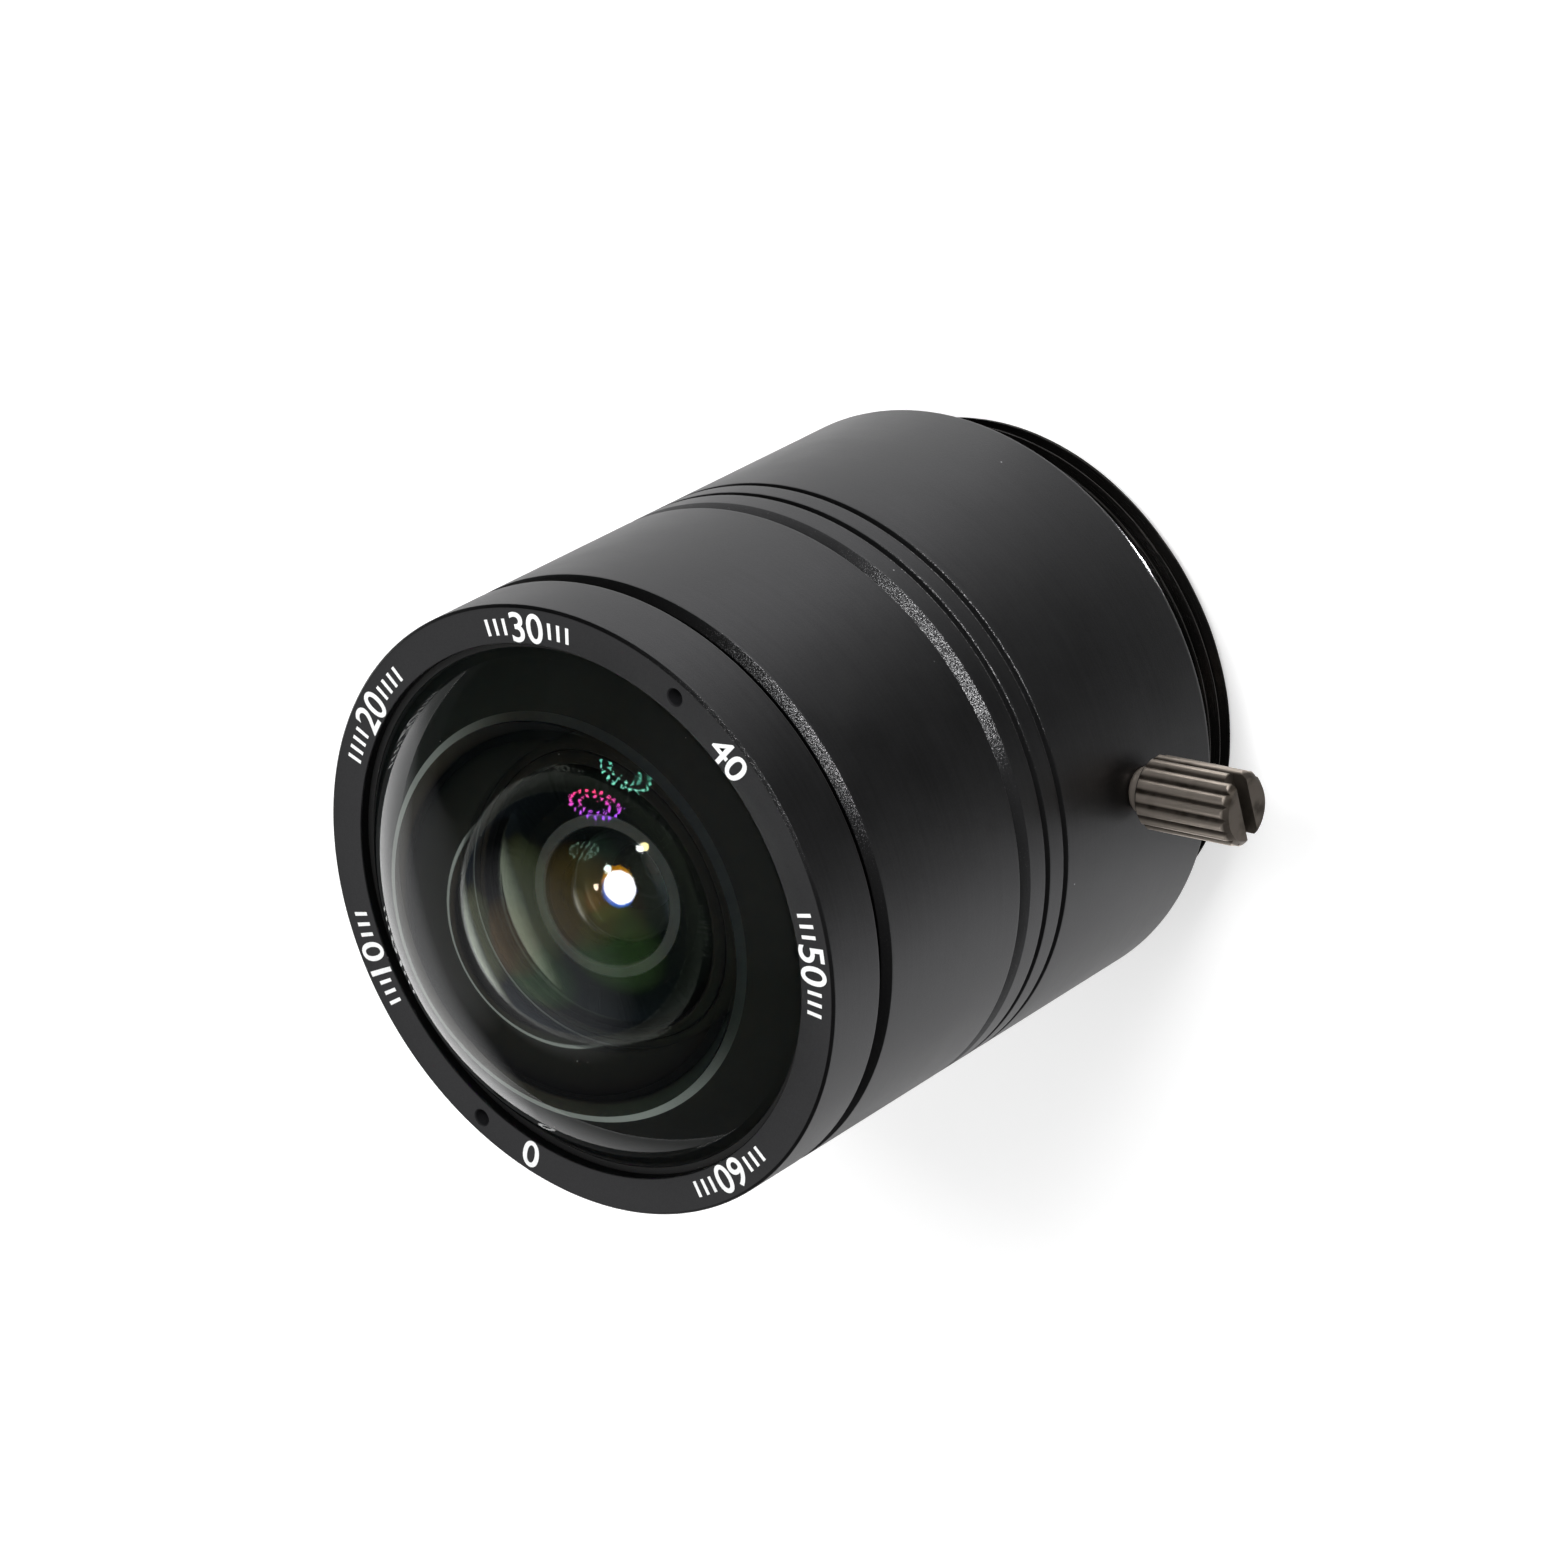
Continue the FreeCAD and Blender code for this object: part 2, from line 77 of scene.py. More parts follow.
def arcPoints(rimR, rimZ, rise, steps, outwards=True):
    # outline (r, z) of a cap from its vertex on the axis to its rim, in even angles: r = curve x sin(angle)
    curve = abs(capCurve(rimR, rise))
    r = np.sin(np.linspace(0, math.asin(rimR / curve), steps)) * curve
    points = np.stack([r, capZ(rimR, rimZ, rise, r)], 1).tolist()
    return points if outwards else points[::-1]


def rounded(corners, steps=5, guard=0.12):
    # corners are (r, z), (r, z, radius) or (r, z, radius, wear): an arc tangent to both sides takes each one's place
    # arc = centre + (start x sin((1 - u) swing) + end x sin(u swing)) / sin(swing), with u from 0 to 1
    # wear marks the arc, and a guard point each way ends it
    # between two corners with wear above 1 there is no guard, so that the whole band between them wears
    points, wears = [], []
    corners = [(*corner, 0, 0)[:4] for corner in corners]
    for index, (r, z, radius, wear) in enumerate(corners):
        last, following = corners[index - 1], corners[(index + 1) % len(corners)]
        here = np.array((r, z))
        before, after = np.array(last[:2]) - here, np.array(following[:2]) - here
        lengthIn, lengthOut = np.linalg.norm(before), np.linalg.norm(after)
        before, after = before / lengthIn, after / lengthOut
        if radius == 0:
            points.append(here), wears.append(wear)
            continue
        half = math.acos(float(np.clip(before @ after, -1, 1))) / 2
        reach = radius / math.tan(half)
        centre = here + (before + after) / np.linalg.norm(before + after) * radius / math.sin(half)
        start, end = here + before * reach - centre, here + after * reach - centre
        swing = math.acos(float(np.clip(start @ end / radius ** 2, -1, 1)))
        u = np.linspace(0, 1, steps)[:, None]
        arc = centre + (np.sin((1 - u) * swing) * start + np.sin(u * swing) * end) / math.sin(swing)
        if wear > 0 and reach + guard < lengthIn * 0.49 and not (wear > 1 and last[3] > 1):
            points.append(here + before * (reach + guard)), wears.append(0.0)
        points += list(arc)
        wears += [wear] * steps
        if wear > 0 and reach + guard < lengthOut * 0.49 and not (wear > 1 and following[3] > 1):
            points.append(here + after * (reach + guard)), wears.append(0.0)
    return np.array(points), [0] * len(points), wears


def newMesh(name, spots, faces):
    mesh = bpy.data.meshes.new(name)
    mesh.from_pydata((np.asarray(spots) * mm).tolist(), [], faces)
    return mesh


def addObject(name, data):
    piece = bpy.data.objects.new(name, data)
    bpy.context.scene.collection.objects.link(piece)
    return piece


def smooth(piece, edge):
    piece.data.shade_smooth()
    piece.data.set_sharp_from_angle(angle=math.radians(edge))


def gridPiece(name, x, y, z, sides, wears, closed, finishes, edge=32):
    # a grid of rows round an axis: row i is a ring, or one point where all of the row falls on the axis
    rows, turns = x.shape
    spots = np.stack([x, y, z], -1)
    onAxis = np.abs(spots - spots[:, :1]).max(axis=(1, 2)) < 1e-9
    starts = np.concatenate([[0], np.cumsum(np.where(onAxis, 1, turns))[:-1]])
    places = starts[:, None] + np.where(onAxis[:, None], 0, np.arange(turns)[None, :])
    keep = np.ones((rows, turns), bool)
    keep[onAxis, 1:] = False
    faces, marks = [], []
    for i in range(rows if closed else rows - 1):
        a, b = places[i], places[(i + 1) % rows]
        a1, b1 = np.roll(a, -1), np.roll(b, -1)
        aPoint, bPoint = onAxis[i], onAxis[(i + 1) % rows]
        if aPoint and bPoint:
            continue
        ring = (a, b1, b) if aPoint else (a, a1, b) if bPoint else (a, a1, b1, b)
        faces += np.stack(ring, 1).tolist()
        marks += [sides[i]] * turns
    mesh = newMesh(name, spots[keep], faces)
    mesh.polygons.foreach_set("material_index", np.array(marks, np.int32))
    if any(wears):
        wear = np.broadcast_to(np.array(wears)[:, None], (rows, turns))[keep]
        mesh.attributes.new("wear", "FLOAT", "POINT").data.foreach_set("value", wear.astype(np.float32))
    piece = addObject(name, mesh)
    for material in finishes:
        mesh.materials.append(material)
    smooth(piece, edge)
    return piece


def turnedPiece(name, outline, finishes, turns=360, edge=32):
    # outline (r, z) carried round the Z axis: x = r cos t, y = r sin t
    points, sides, wears = outline
    points = np.asarray(points, float)
    t = around(turns)
    closed = not (points[0, 0] < 1e-9 and points[-1, 0] < 1e-9)
    x, y = points[:, :1] * np.cos(t), points[:, :1] * np.sin(t)
    z = np.broadcast_to(points[:, 1:], x.shape)
    return gridPiece(name, x, y, z, sides, wears, closed, finishes, edge)


def carve(piece, cutters, edge=32):
    # takes the cutters' room out of the piece, and the cutters out of the scene
    for cutter in cutters:
        cut = piece.modifiers.new("cut", "BOOLEAN")
        cut.solver, cut.operation, cut.object = "EXACT", "DIFFERENCE", cutter
        cut.material_mode = "TRANSFER"
    bpy.context.view_layer.update()
    result = bpy.data.meshes.new_from_object(piece.evaluated_get(bpy.context.evaluated_depsgraph_get()))
    piece.modifiers.clear()
    old, piece.data = piece.data, result
    bpy.data.meshes.remove(old)
    result.name = piece.name
    for cutter in cutters:
        bpy.data.objects.remove(cutter)
    smooth(piece, edge)


def barCutter(name, low, high, finish, tilt=0.0, axisZ=0.0):
    # box from its lowest to its highest corner, tilted about X and lifted to the height of that axis
    corner = np.array([[i, j, k] for i in (0, 1) for j in (0, 1) for k in (0, 1)])
    x, y, z = (np.array(low) + corner * (np.array(high) - np.array(low))).T
    a = math.radians(tilt)
    spots = np.stack([x, y * math.cos(a) - z * math.sin(a), y * math.sin(a) + z * math.cos(a) + axisZ], 1)
    faces = [(0, 1, 3, 2), (4, 6, 7, 5), (0, 4, 5, 1), (2, 3, 7, 6), (0, 2, 6, 4), (1, 5, 7, 3)]
    mesh = newMesh(name, spots, faces)
    mesh.materials.append(finish)
    return addObject(name, mesh)


def drillCutter(name, plan, turns, finish):
    # pin along X as a cutter: y = +-r cos t, z = height + r sin t, with the sign of the way that it runs
    x = np.array([plan["from"], plan["from"], plan["to"], plan["to"]])[:, None] * np.ones((1, turns))
    r = np.array([0, plan["r"], plan["r"], 0])[:, None]
    way = math.copysign(1, plan["to"] - plan["from"])
    t = around(turns)
    return gridPiece(name, x, way * r * np.cos(t), r * np.sin(t) + plan["z"], [0] * 4, [], False, [finish])


# finishes

class Wire:
    # a socket of a node tree, on which sums are written as in Python
    def __init__(self, tree, socket=None):
        self.tree, self.socket = tree, socket

    def add(self, kind, settings=(), sockets=(), out=0):
        # any node: its settings first, then the values or wires of its sockets
        node = self.tree.nodes.new("ShaderNode" + kind)
        for key, value in dict(settings).items():
            setattr(node, key, value)
        for key, value in dict(sockets).items():
            if isinstance(value, Wire):
                self.tree.links.new(value.socket, node.inputs[key])
            else:
                node.inputs[key].default_value = value
        return Wire(self.tree, node.outputs[out])

    def sum(self, operation, first, second=0.0, clamp=False):
        return self.add("Math", {"operation": operation, "use_clamp": clamp}, {0: first, 1: second})

    def __add__(self, other): return self.sum("ADD", self, other)
    __radd__ = __add__
    def __sub__(self, other): return self.sum("SUBTRACT", self, other)
    def __rsub__(self, other): return self.sum("SUBTRACT", other, self)
    def __mul__(self, other): return self.sum("MULTIPLY", self, other)
    __rmul__ = __mul__
    def __pow__(self, other): return self.sum("POWER", self, other)

    def clamped(self): return self.sum("ADD", self, 0.0, True)
    def highest(self, other): return self.sum("MAXIMUM", self, other)

    def ramp(self, low, high):
        # 0 below low, 1 above high, smooth between them
        return self.add("MapRange", {"interpolation_type": "SMOOTHSTEP"}, {0: self, 1: low, 2: high})

    def mixed(self, first, second):
        # colour between two, by this wire
        return self.add("Mix", {"data_type": "RGBA"}, {0: self, 6: colourOf(first), 7: colourOf(second)}, 2)

    def vector(self, operation, other=(0, 0, 0), out=0):
        return self.add("VectorMath", {"operation": operation}, {0: self, 1: other}, out)

    def shade(self, colour):
        # a colour or vector times this wire
        return self.add("VectorMath", {"operation": "SCALE"}, {0: colour, "Scale": self})

    def parts(self):
        # the three numbers of this vector
        node = self.add("SeparateXYZ", {}, {0: self}).socket.node
        return [Wire(self.tree, socket) for socket in node.outputs]


def colourOf(value):
    # a colour of four numbers from one number or three; wires pass
    if isinstance(value, Wire):
        return value
    return (value, value, value, 1) if isinstance(value, (int, float)) else (*value, 1)


socketNames = {
    "colour": "Base Color", "metallic": "Metallic", "roughness": "Roughness", "ior": "IOR",
    "specular": "Specular IOR Level", "edgeTint": "Specular Tint", "transmission": "Transmission Weight",
    "glow": "Emission Color", "glowStrength": "Emission Strength", "normal": "Normal",
}


def newFinish(name, **values):
    # material with its Principled shader: returns material, first wire, shader, and its place in millimetres
    material = bpy.data.materials.new(name)
    material.use_nodes = True
    tree = material.node_tree
    shader = tree.nodes["Principled BSDF"]
    for key, value in values.items():
        shader.inputs[socketNames[key]].default_value = value
    start = Wire(tree)
    metres = start.add("TexCoord", out="Object")
    place = start.add("VectorMath", {"operation": "SCALE"}, {0: metres, "Scale": 1 / mm})
    return material, start, shader, place


def lightFinish(name):
    # material for a stage card or lamp, whose glow isn't sampled as a light: returns material, wire and output
    material = bpy.data.materials.new(name)
    material.use_nodes = True
    material.cycles.emission_sampling = "NONE"
    tree = material.node_tree
    tree.nodes.remove(tree.nodes["Principled BSDF"])
    return material, Wire(tree), tree.nodes["Material Output"].inputs["Surface"]


def feed(shader, **wires):
    for key, wire in wires.items():
        wire.tree.links.new(wire.socket, shader.inputs[socketNames[key]])


def noise(start, place, scale, detail=2.0, rough=0.5):
    return start.add("TexNoise", {}, {"Vector": place, "Scale": scale, "Detail": detail, "Roughness": rough}, "Fac")


def specks(start, place, scale, low, high):
    # round specks: 1 at the middle of a cell, 0 from the higher distance on
    cells = start.add("TexVoronoi", {}, {"Vector": place, "Scale": scale}, "Distance")
    return 1 - cells.ramp(low, high)


def bump(start, height, strength, distance):
    return start.add("Bump", {}, {"Height": height, "Strength": strength, "Distance": distance * mm})


def latheStreaks(start, place, across, along, detail):
    # noise that hardly changes round the axis and changes fast along it, as a lathe's streaks do
    x, y, z = place.parts()
    squeeze = across / shared["barrelR"]
    return noise(start, start.add("CombineXYZ", {}, {0: x * squeeze, 1: y * squeeze, 2: z * along}), 1.0, detail)


def towards(azimuth, elevation):
    # unit vector: (cos e cos a, cos e sin a, sin e)
    a, e = math.radians(azimuth), math.radians(elevation)
    return np.array((math.cos(e) * math.cos(a), math.cos(e) * math.sin(a), math.sin(e)))


def onSide(place, azimuth):
    # 1 on that side of the axis, 0 at right angles to it, -1 opposite
    outwards = place.vector("MULTIPLY", (1, 1, 0)).vector("NORMALIZE")
    return outwards.vector("DOT_PRODUCT", tuple(towards(azimuth, 0)), 1)


def blackAnodised(name, plan):
    # dyed oxide on blasted aluminium: dark mirror, fine grain, faint lathe streaks, worn-through metal where edges are
    # worn, with more of it on one side as painted sparkle
    material, start, shader, place = newFinish(name, metallic=1.0, edgeTint=(plan["edgeTint"],) * 3 + (1,))
    streak = latheStreaks(start, place, 1.2, plan["streakScale"], 3.0)
    mottle = noise(start, place, plan["mottleScale"], 3.0)
    grain = noise(start, place, plan["grainScale"])
    wear = start.add("Attribute", {"attribute_name": "wear"}, {}, "Fac")
    chips = noise(start, place, plan["chipScale"], 4.0, 0.7)
    # painted sparkle: more worn-through metal within about 30 degrees of one side, where light is mirrored
    paintedSparkle = onSide(place, plan["paintedSparkleSide"]).ramp(0.86, 0.99)                 # within about 30 degrees of that side
    bareAndSparkle = (chips + wear * (paintedSparkle * 0.15 + 0.30) - 0.97).ramp(0.0, 0.05)       # the highest chips alone
    bareAndSparkle = bareAndSparkle * wear.ramp(0.02, 0.3) * plan["wear"]                           # none on unworn faces
    dust = specks(start, place, 0.8, 0.02, 0.045) * noise(start, place, 0.6).ramp(0.60, 0.64) * plan["dust"]
    tone = mottle * 0.35 + streak * 0.25 + grain * 0.3 + 0.55                   # about 1 on average
    feed(shader,
         colour=bareAndSparkle.highest(dust).mixed(tone.shade(plan["colour"]), plan["bareAndSparkleColour"]),
         roughness=(mottle * 0.10 + streak * plan["streak"] + (plan["roughness"] - 0.08) - bareAndSparkle * 0.20).clamped(),
         normal=bump(start, grain + chips * wear * paintedSparkle * 6.0, plan["grain"], 0.02))
    return material


def mattBlack(name, plan):
    # flat black inside the barrel: dark, ringed by the tool
    material, start, shader, place = newFinish(name, metallic=0.0, specular=plan["specular"])
    streak = latheStreaks(start, place, 0.8, 9.0, 2.0)
    tone = streak * 0.5 + noise(start, place, 0.7, 3.0) * 0.5 + 0.5
    feed(shader, colour=tone.shade(plan["colour"]), roughness=(streak * 0.12 + plan["roughness"]).clamped(),
         normal=bump(start, streak, 0.08, 0.02))
    return material


def nickel(name, plan):
    # nickel plating with stains and fine scratches; on the head, between valleyR and ridgeR, painted shade darkens the
    # valleys
    material, start, shader, place = newFinish(name, metallic=plan["metallic"])
    x, y, z = place.parts()
    fromAxis = (y * y + (z - plan["axisZ"]) * (z - plan["axisZ"])) ** 0.5
    onHead = x.ramp(plan["headX"] - 0.02, plan["headX"] + 0.02)
    valleyShade = (1 - fromAxis.ramp(plan["valleyR"], plan["ridgeR"])) * onHead
    stain = noise(start, place, 1.1, 3.0)
    fine = noise(start, place, 14.0)
    scratch = noise(start, start.add("CombineXYZ", {}, {0: x * 1.5, 1: y * 22.0, 2: z * 22.0}), 1.0, 3.0)
    # painted shade in the knurl valleys, together with stains
    shadeAndStain = (valleyShade * 0.85 + stain.ramp(0.45, 0.75) * 0.12).clamped()
    feed(shader, colour=shadeAndStain.mixed(plan["colour"], plan["shadeAndStain"]),
         roughness=(stain * 0.18 + scratch * 0.14 + plan["roughness"] + valleyShade * 0.15).clamped(),
         normal=bump(start, fine * 0.5 + scratch, 0.25, 0.015))
    return material


def softPlastic(name, plan):
    # rubber or nylon: even, a little grainy
    material, start, shader, place = newFinish(name, metallic=0.0)
    cloud = noise(start, place, 1.5, 3.0)
    fine = noise(start, place, plan["grainScale"])
    feed(shader, colour=(cloud * 0.3 + fine * 0.2 + 0.75).shade(plan["colour"]),
         roughness=(cloud * 0.1 + plan["roughness"]).clamped(), normal=bump(start, fine, plan["grain"], 0.02))
    return material


def glass(name, plan):
    # polished glass; its anti-reflection film gives the reflection a colour, and a little dust lies on it
    material, start, shader, place = newFinish(name, transmission=1.0, ior=plan["ior"], edgeTint=(*plan["tint"], 1))
    haze = noise(start, place, 0.5)
    dust = specks(start, place, 1.1, 0.025, 0.05) * noise(start, place, 0.9).ramp(0.58, 0.6)
    feed(shader, roughness=dust * plan["dust"] + plan["polish"],
         colour=haze.mixed(plan["body"], tuple(c * 0.97 for c in plan["body"])))
    return material


def groundGlass(name, plan):
    # fine-ground edge of a lens, pale and frosted, with a painted glow that is stronger on one side
    material, start, shader, place = newFinish(name, ior=1.6, glowStrength=plan["paintedGlow"])
    frost = noise(start, place, 9.0, 3.0)
    tone = frost * 0.25 + noise(start, place, 0.8) * 0.3 + 0.72
    # painted glow: emission strongest towards one side of the axis
    if plan["paintedGlow"] > 0:
        feed(shader, glow=(onSide(place, plan["paintedGlowSide"]).ramp(-0.45, 0.5) * tone).shade(plan["colour"]))
    feed(shader, colour=tone.shade(plan["colour"]), roughness=(frost * 0.15 + plan["roughness"]).clamped())
    return material


def printedInk(name, plan):
    # ink, slightly uneven
    material, start, shader, place = newFinish(name)
    ink = noise(start, place, 3.0, 3.0)
    edge = noise(start, place, 18.0)
    feed(shader, colour=(ink * 0.6 + edge * 0.4).ramp(0.3, 0.7).mixed(plan["thin"], plan["full"]),
         roughness=(ink * 0.15 + plan["roughness"]).clamped(), normal=bump(start, edge, 0.15, 0.01))
    return material


# the worn-metal colour also serves as painted sparkle on one side
barrelFinish = {
    "colour": (0.060, 0.060, 0.062), "bareAndSparkleColour": (0.62, 0.62, 0.63), "edgeTint": 0.8, "roughness": 0.42,
    "streakScale": 7.0, "streak": 0.06, "mottleScale": 0.35, "grainScale": 16.0, "grain": 0.25, "chipScale": 18.0,
    "wear": 1.0, "paintedSparkleSide": 41.0, "dust": 0.8,
}
mountFinish = {
    "colour": (0.030, 0.028, 0.027), "bareAndSparkleColour": (0.30, 0.30, 0.28), "edgeTint": 0.7, "roughness": 0.24,
    "streakScale": 12.0, "streak": 0.12, "mottleScale": 0.35, "grainScale": 10.0, "grain": 0.10, "chipScale": 4.0,
    "wear": 0.5, "paintedSparkleSide": 41.0, "dust": 0.8,
}

satinBlack = blackAnodised("satinBlackAnodised", barrelFinish)
glossBlack = blackAnodised("glossBlackAnodised", mountFinish)
innerBlack = mattBlack("innerMattBlack", {"colour": (0.012, 0.012, 0.013), "specular": 0.35, "roughness": 0.55})
glassPaint = mattBlack("blackGlassPaint", {"colour": (0.005, 0.006, 0.005), "specular": 0.08, "roughness": 0.45})
sealBlack = softPlastic("sealRubber", {"colour": (0.008, 0.008, 0.008), "roughness": 0.62, "grainScale": 12.0,
                                       "grain": 0.3})
tipNylon = softPlastic("tipNylon", {"colour": (0.72, 0.71, 0.66), "roughness": 0.5, "grainScale": 8.0, "grain": 0.2})
seatPaint = softPlastic("blackGlassSeat", {"colour": (0.014, 0.024, 0.036), "roughness": 0.5, "grainScale": 6.0,
                                           "grain": 0.05})
# the ground edge carries a painted glow, strongest on one side
groundEdge = groundGlass("groundGlassEdge", {"colour": (0.16, 0.18, 0.17), "roughness": 0.35, "paintedGlow": 0.90,
                                             "paintedGlowSide": 221.0})
groundRing = groundGlass("groundGlassRing", {"colour": (0.60, 0.66, 0.76), "roughness": 0.5, "paintedGlow": 0.0})
whiteInk = printedInk("whiteInk", {"thin": (0.70, 0.71, 0.71), "full": (0.86, 0.87, 0.86), "roughness": 0.4})
pinSteel = nickel("groundSteel", {
    "colour": (0.50, 0.49, 0.48), "shadeAndStain": (0.30, 0.29, 0.28), "roughness": 0.25, "metallic": 1.0,
    "axisZ": shared["pinZ"], "valleyR": 0.0, "ridgeR": 0.1, "headX": 50.0})
# the dark colour serves both as painted shade in the valleys and as stains
screwNickel = nickel("screwNickel", {
    "colour": (0.70, 0.61, 0.53), "shadeAndStain": (0.035, 0.027, 0.020), "roughness": 0.22, "metallic": 0.90,
    "axisZ": shared["screwZ"], "valleyR": 1.59, "ridgeR": 1.715, "headX": 14.9})

# tint colours what the film mirrors, and body what goes through the glass
coats = {
    "domeCoat": {"ior": 1.6, "tint": (0.30, 0.31, 0.33), "body": (0.96, 0.99, 0.97), "dust": 0.5, "polish": 0.04},
    "hollowCoat": {"ior": 1.6, "tint": (0.26, 0.34, 0.24), "body": (0.97, 0.99, 0.97), "dust": 0.0, "polish": 0.0},
    "secondCoat": {"ior": 1.65, "tint": (0.34, 0.44, 0.20), "body": (0.98, 0.98, 0.96), "dust": 0.0, "polish": 0.0},
    "innerCoat": {"ior": 1.65, "tint": (0.50, 0.34, 0.16), "body": (0.98, 0.97, 0.93), "dust": 0.0, "polish": 0.0},
    "rearCoat": {"ior": 1.6, "tint": (0.25, 0.30, 0.40), "body": (0.98, 0.98, 0.96), "dust": 0.3, "polish": 0.0},
}
domeCoat, hollowCoat, secondCoat, innerCoat, rearCoat = (glass(coatName, plan) for coatName, plan in coats.items())
print("finishes made:", len(bpy.data.materials))


# camera, lamps and floor

def stand(thing, right, up, back, place):
    # puts an object's axes and place, in millimetres
    matrix = np.eye(4)
    matrix[:3] = np.stack([right, up, back, np.array(place) * mm], 1)
    thing.matrix_world = Matrix(matrix.tolist())


cameraPlan = {
    "place": (165.838, 101.896, 211.981), "right": (0.7811, -0.0919, -0.6176), "up": (-0.1623, 0.9252, -0.3430),
    "lens": 139.914, "sensor": 36.0,
}


def addCamera(plan):
    right, up = unit(plan["right"]), np.array(plan["up"])
    up = unit(up - right * (up @ right))
    data = bpy.data.cameras.new("camera")
    data.lens, data.sensor_width, data.sensor_fit = plan["lens"], plan["sensor"], "HORIZONTAL"
    data.clip_start, data.clip_end = 0.01, 20
    camera = addObject("camera", data)
    stand(camera, right, up, np.cross(right, up), plan["place"])
    bpy.context.scene.camera = camera


lampPlans = {
    "keyLamp": {"place": (40, 140, 230), "target": (0, 0, 15), "size": 130, "watts": 0.60},
    "fillLamp": {"place": (260, 60, 200), "target": (0, 0, 15), "size": 120, "watts": 0.20},
}


def addLamp(name, plan):
    # square lamp that lights matt surfaces and isn't seen, mirrored or looked at through glass
    data = bpy.data.lights.new(name, "AREA")
    data.shape, data.size, data.energy = "SQUARE", plan["size"] * mm, plan["watts"]
    lamp = addObject(name, data)
    back = unit(np.array(plan["place"]) - np.array(plan["target"]))
    right = unit(np.cross((0.0, 0.0, 1.0), back))
    stand(lamp, right, np.cross(back, right), back, plan["place"])
    lamp.visible_camera = lamp.visible_glossy = lamp.visible_transmission = False


def rayKinds(start):
    # 1 for rays of the camera, of mirror reflections and of light through glass
    paths = start.add("LightPath").socket.node
    return [Wire(start.tree, paths.outputs[key]) for key in ("Is Camera Ray", "Is Glossy Ray", "Is Transmission Ray")]


worldPlan = {
    "ambient": 0.55,                                # for matt surfaces, all round
    "room": 0.05,                                   # for mirrors
    "inGlass": (0.045, 0.060, 0.090),               # for light through glass
    # azimuth, elevation, inner and outer angle, strength in mirrors, colour in glass
    "patches": ((203, -8, 12, 30, 0.75, (1.75, 1.85, 1.65)), (198, 20, 12, 27, 0.38, (0.58, 0.60, 0.38)),
                (222, 56, 14, 34, 0.95, (0.0, 0.0, 0.0)), (206, 52, 10, 30, 0.0, (1.15, 0.68, 0.36)),
                (243, 50, 10, 30, 0.0, (0.48, 0.86, 0.46)), (30, 30, 20, 70, 0.20, (0.07, 0.08, 0.11)),
                (44, 4, 7, 22, 4.5, (0.0, 0.0, 0.0))),
    "gaps": ((151.7, 23.4, 20.5, 22.0, 0.15),),     # the last number is the share of light that is left
}


def addWorld(plan):
    # white all round for the camera; mirrors and glass find a darker room with soft bright patches
    world = bpy.data.worlds.new("studio")
    world.use_nodes = True
    bpy.context.scene.world = world
    background = world.node_tree.nodes["Background"]
    start = Wire(world.node_tree)
    camera, glossy, through = rayKinds(start)
    way = start.add("TexCoord", out="Generated")

    def patch(azimuth, elevation, inner, outer):
        # 1 within the inner angle of a direction, 0 beyond the outer angle
        close = way.vector("DOT_PRODUCT", tuple(towards(azimuth, elevation)), 1)
        return close.ramp(math.cos(math.radians(outer)), math.cos(math.radians(inner)))

    def either(mirror, inGlass):
        return start.add("Mix", {"data_type": "VECTOR"}, {0: through, 4: (mirror,) * 3, 5: inGlass}, 1)

    room = either(plan["room"], plan["inGlass"])
    for azimuth, elevation, inner, outer, strength, inGlass in plan["patches"]:
        light = patch(azimuth, elevation, inner, outer).shade(either(strength, inGlass))
        room = room.vector("MAXIMUM", light)
    for azimuth, elevation, inner, outer, left in plan["gaps"]:
        room = (1 - patch(azimuth, elevation, inner, outer) * (1 - left)).shade(room)
    mirrored = (glossy + through).clamped() * (1 - camera)
    plain = camera + (1 - camera) * (1 - mirrored) * plan["ambient"]
    colour = mirrored.shade(room).vector("ADD", plain)
    start.tree.links.new(colour.socket, background.inputs["Color"])
    background.inputs["Strength"].default_value = 1.0


floorPlan = {"rings": (0, 15, 40, 120, 400, 1500), "turns": 96, "gap": 0.01, "colour": 0.80, "glow": 0.42}


def addFloor(plan):
    # pale disc: x = r cos t, y = r sin t
    # what the camera and mirrors see of it glows a little, so that it is white where no shadow falls
    material, start, shader, place = newFinish("floorPaper", roughness=0.9, specular=0.0, glowStrength=1.0)
    camera, glossy, through = rayKinds(start)
    feed(shader, colour=noise(start, place, 0.03).mixed(plan["colour"] - 0.01, plan["colour"] + 0.01),
         glow=(camera + glossy + through).clamped() * plan["glow"])
    t, r = around(plan["turns"]), np.array(plan["rings"])[:, None]
    x, y = r * np.cos(t), r * np.sin(t)
    floor = gridPiece("floor", x, y, np.full(x.shape, -plan["gap"]), [0] * len(r), [], False, [material])
    floor.data.flip_normals()


cardPlans = {
    "shadeCard": {"from": 192, "to": 264, "inner": 14.5, "outer": 44, "height": 0.06, "soft": 0.5, "glow": 0.0,
                  "cover": 0.9},
    "edgeGlint": {"from": 35.5, "to": 44, "inner": 13.0, "outer": 14.1, "height": 0.1, "soft": 0.8, "glow": 260.0},
    "darkCard": {"from": -34, "to": 84, "inner": 14.5, "outer": 110, "height": 0.05, "soft": 0.9, "glow": 0.0},
    "farCard": {"from": 222, "to": 538, "inner": 75, "outer": 1400, "height": 0.08, "soft": 0.12, "glow": 0.12,
                "inGlass": True},
}


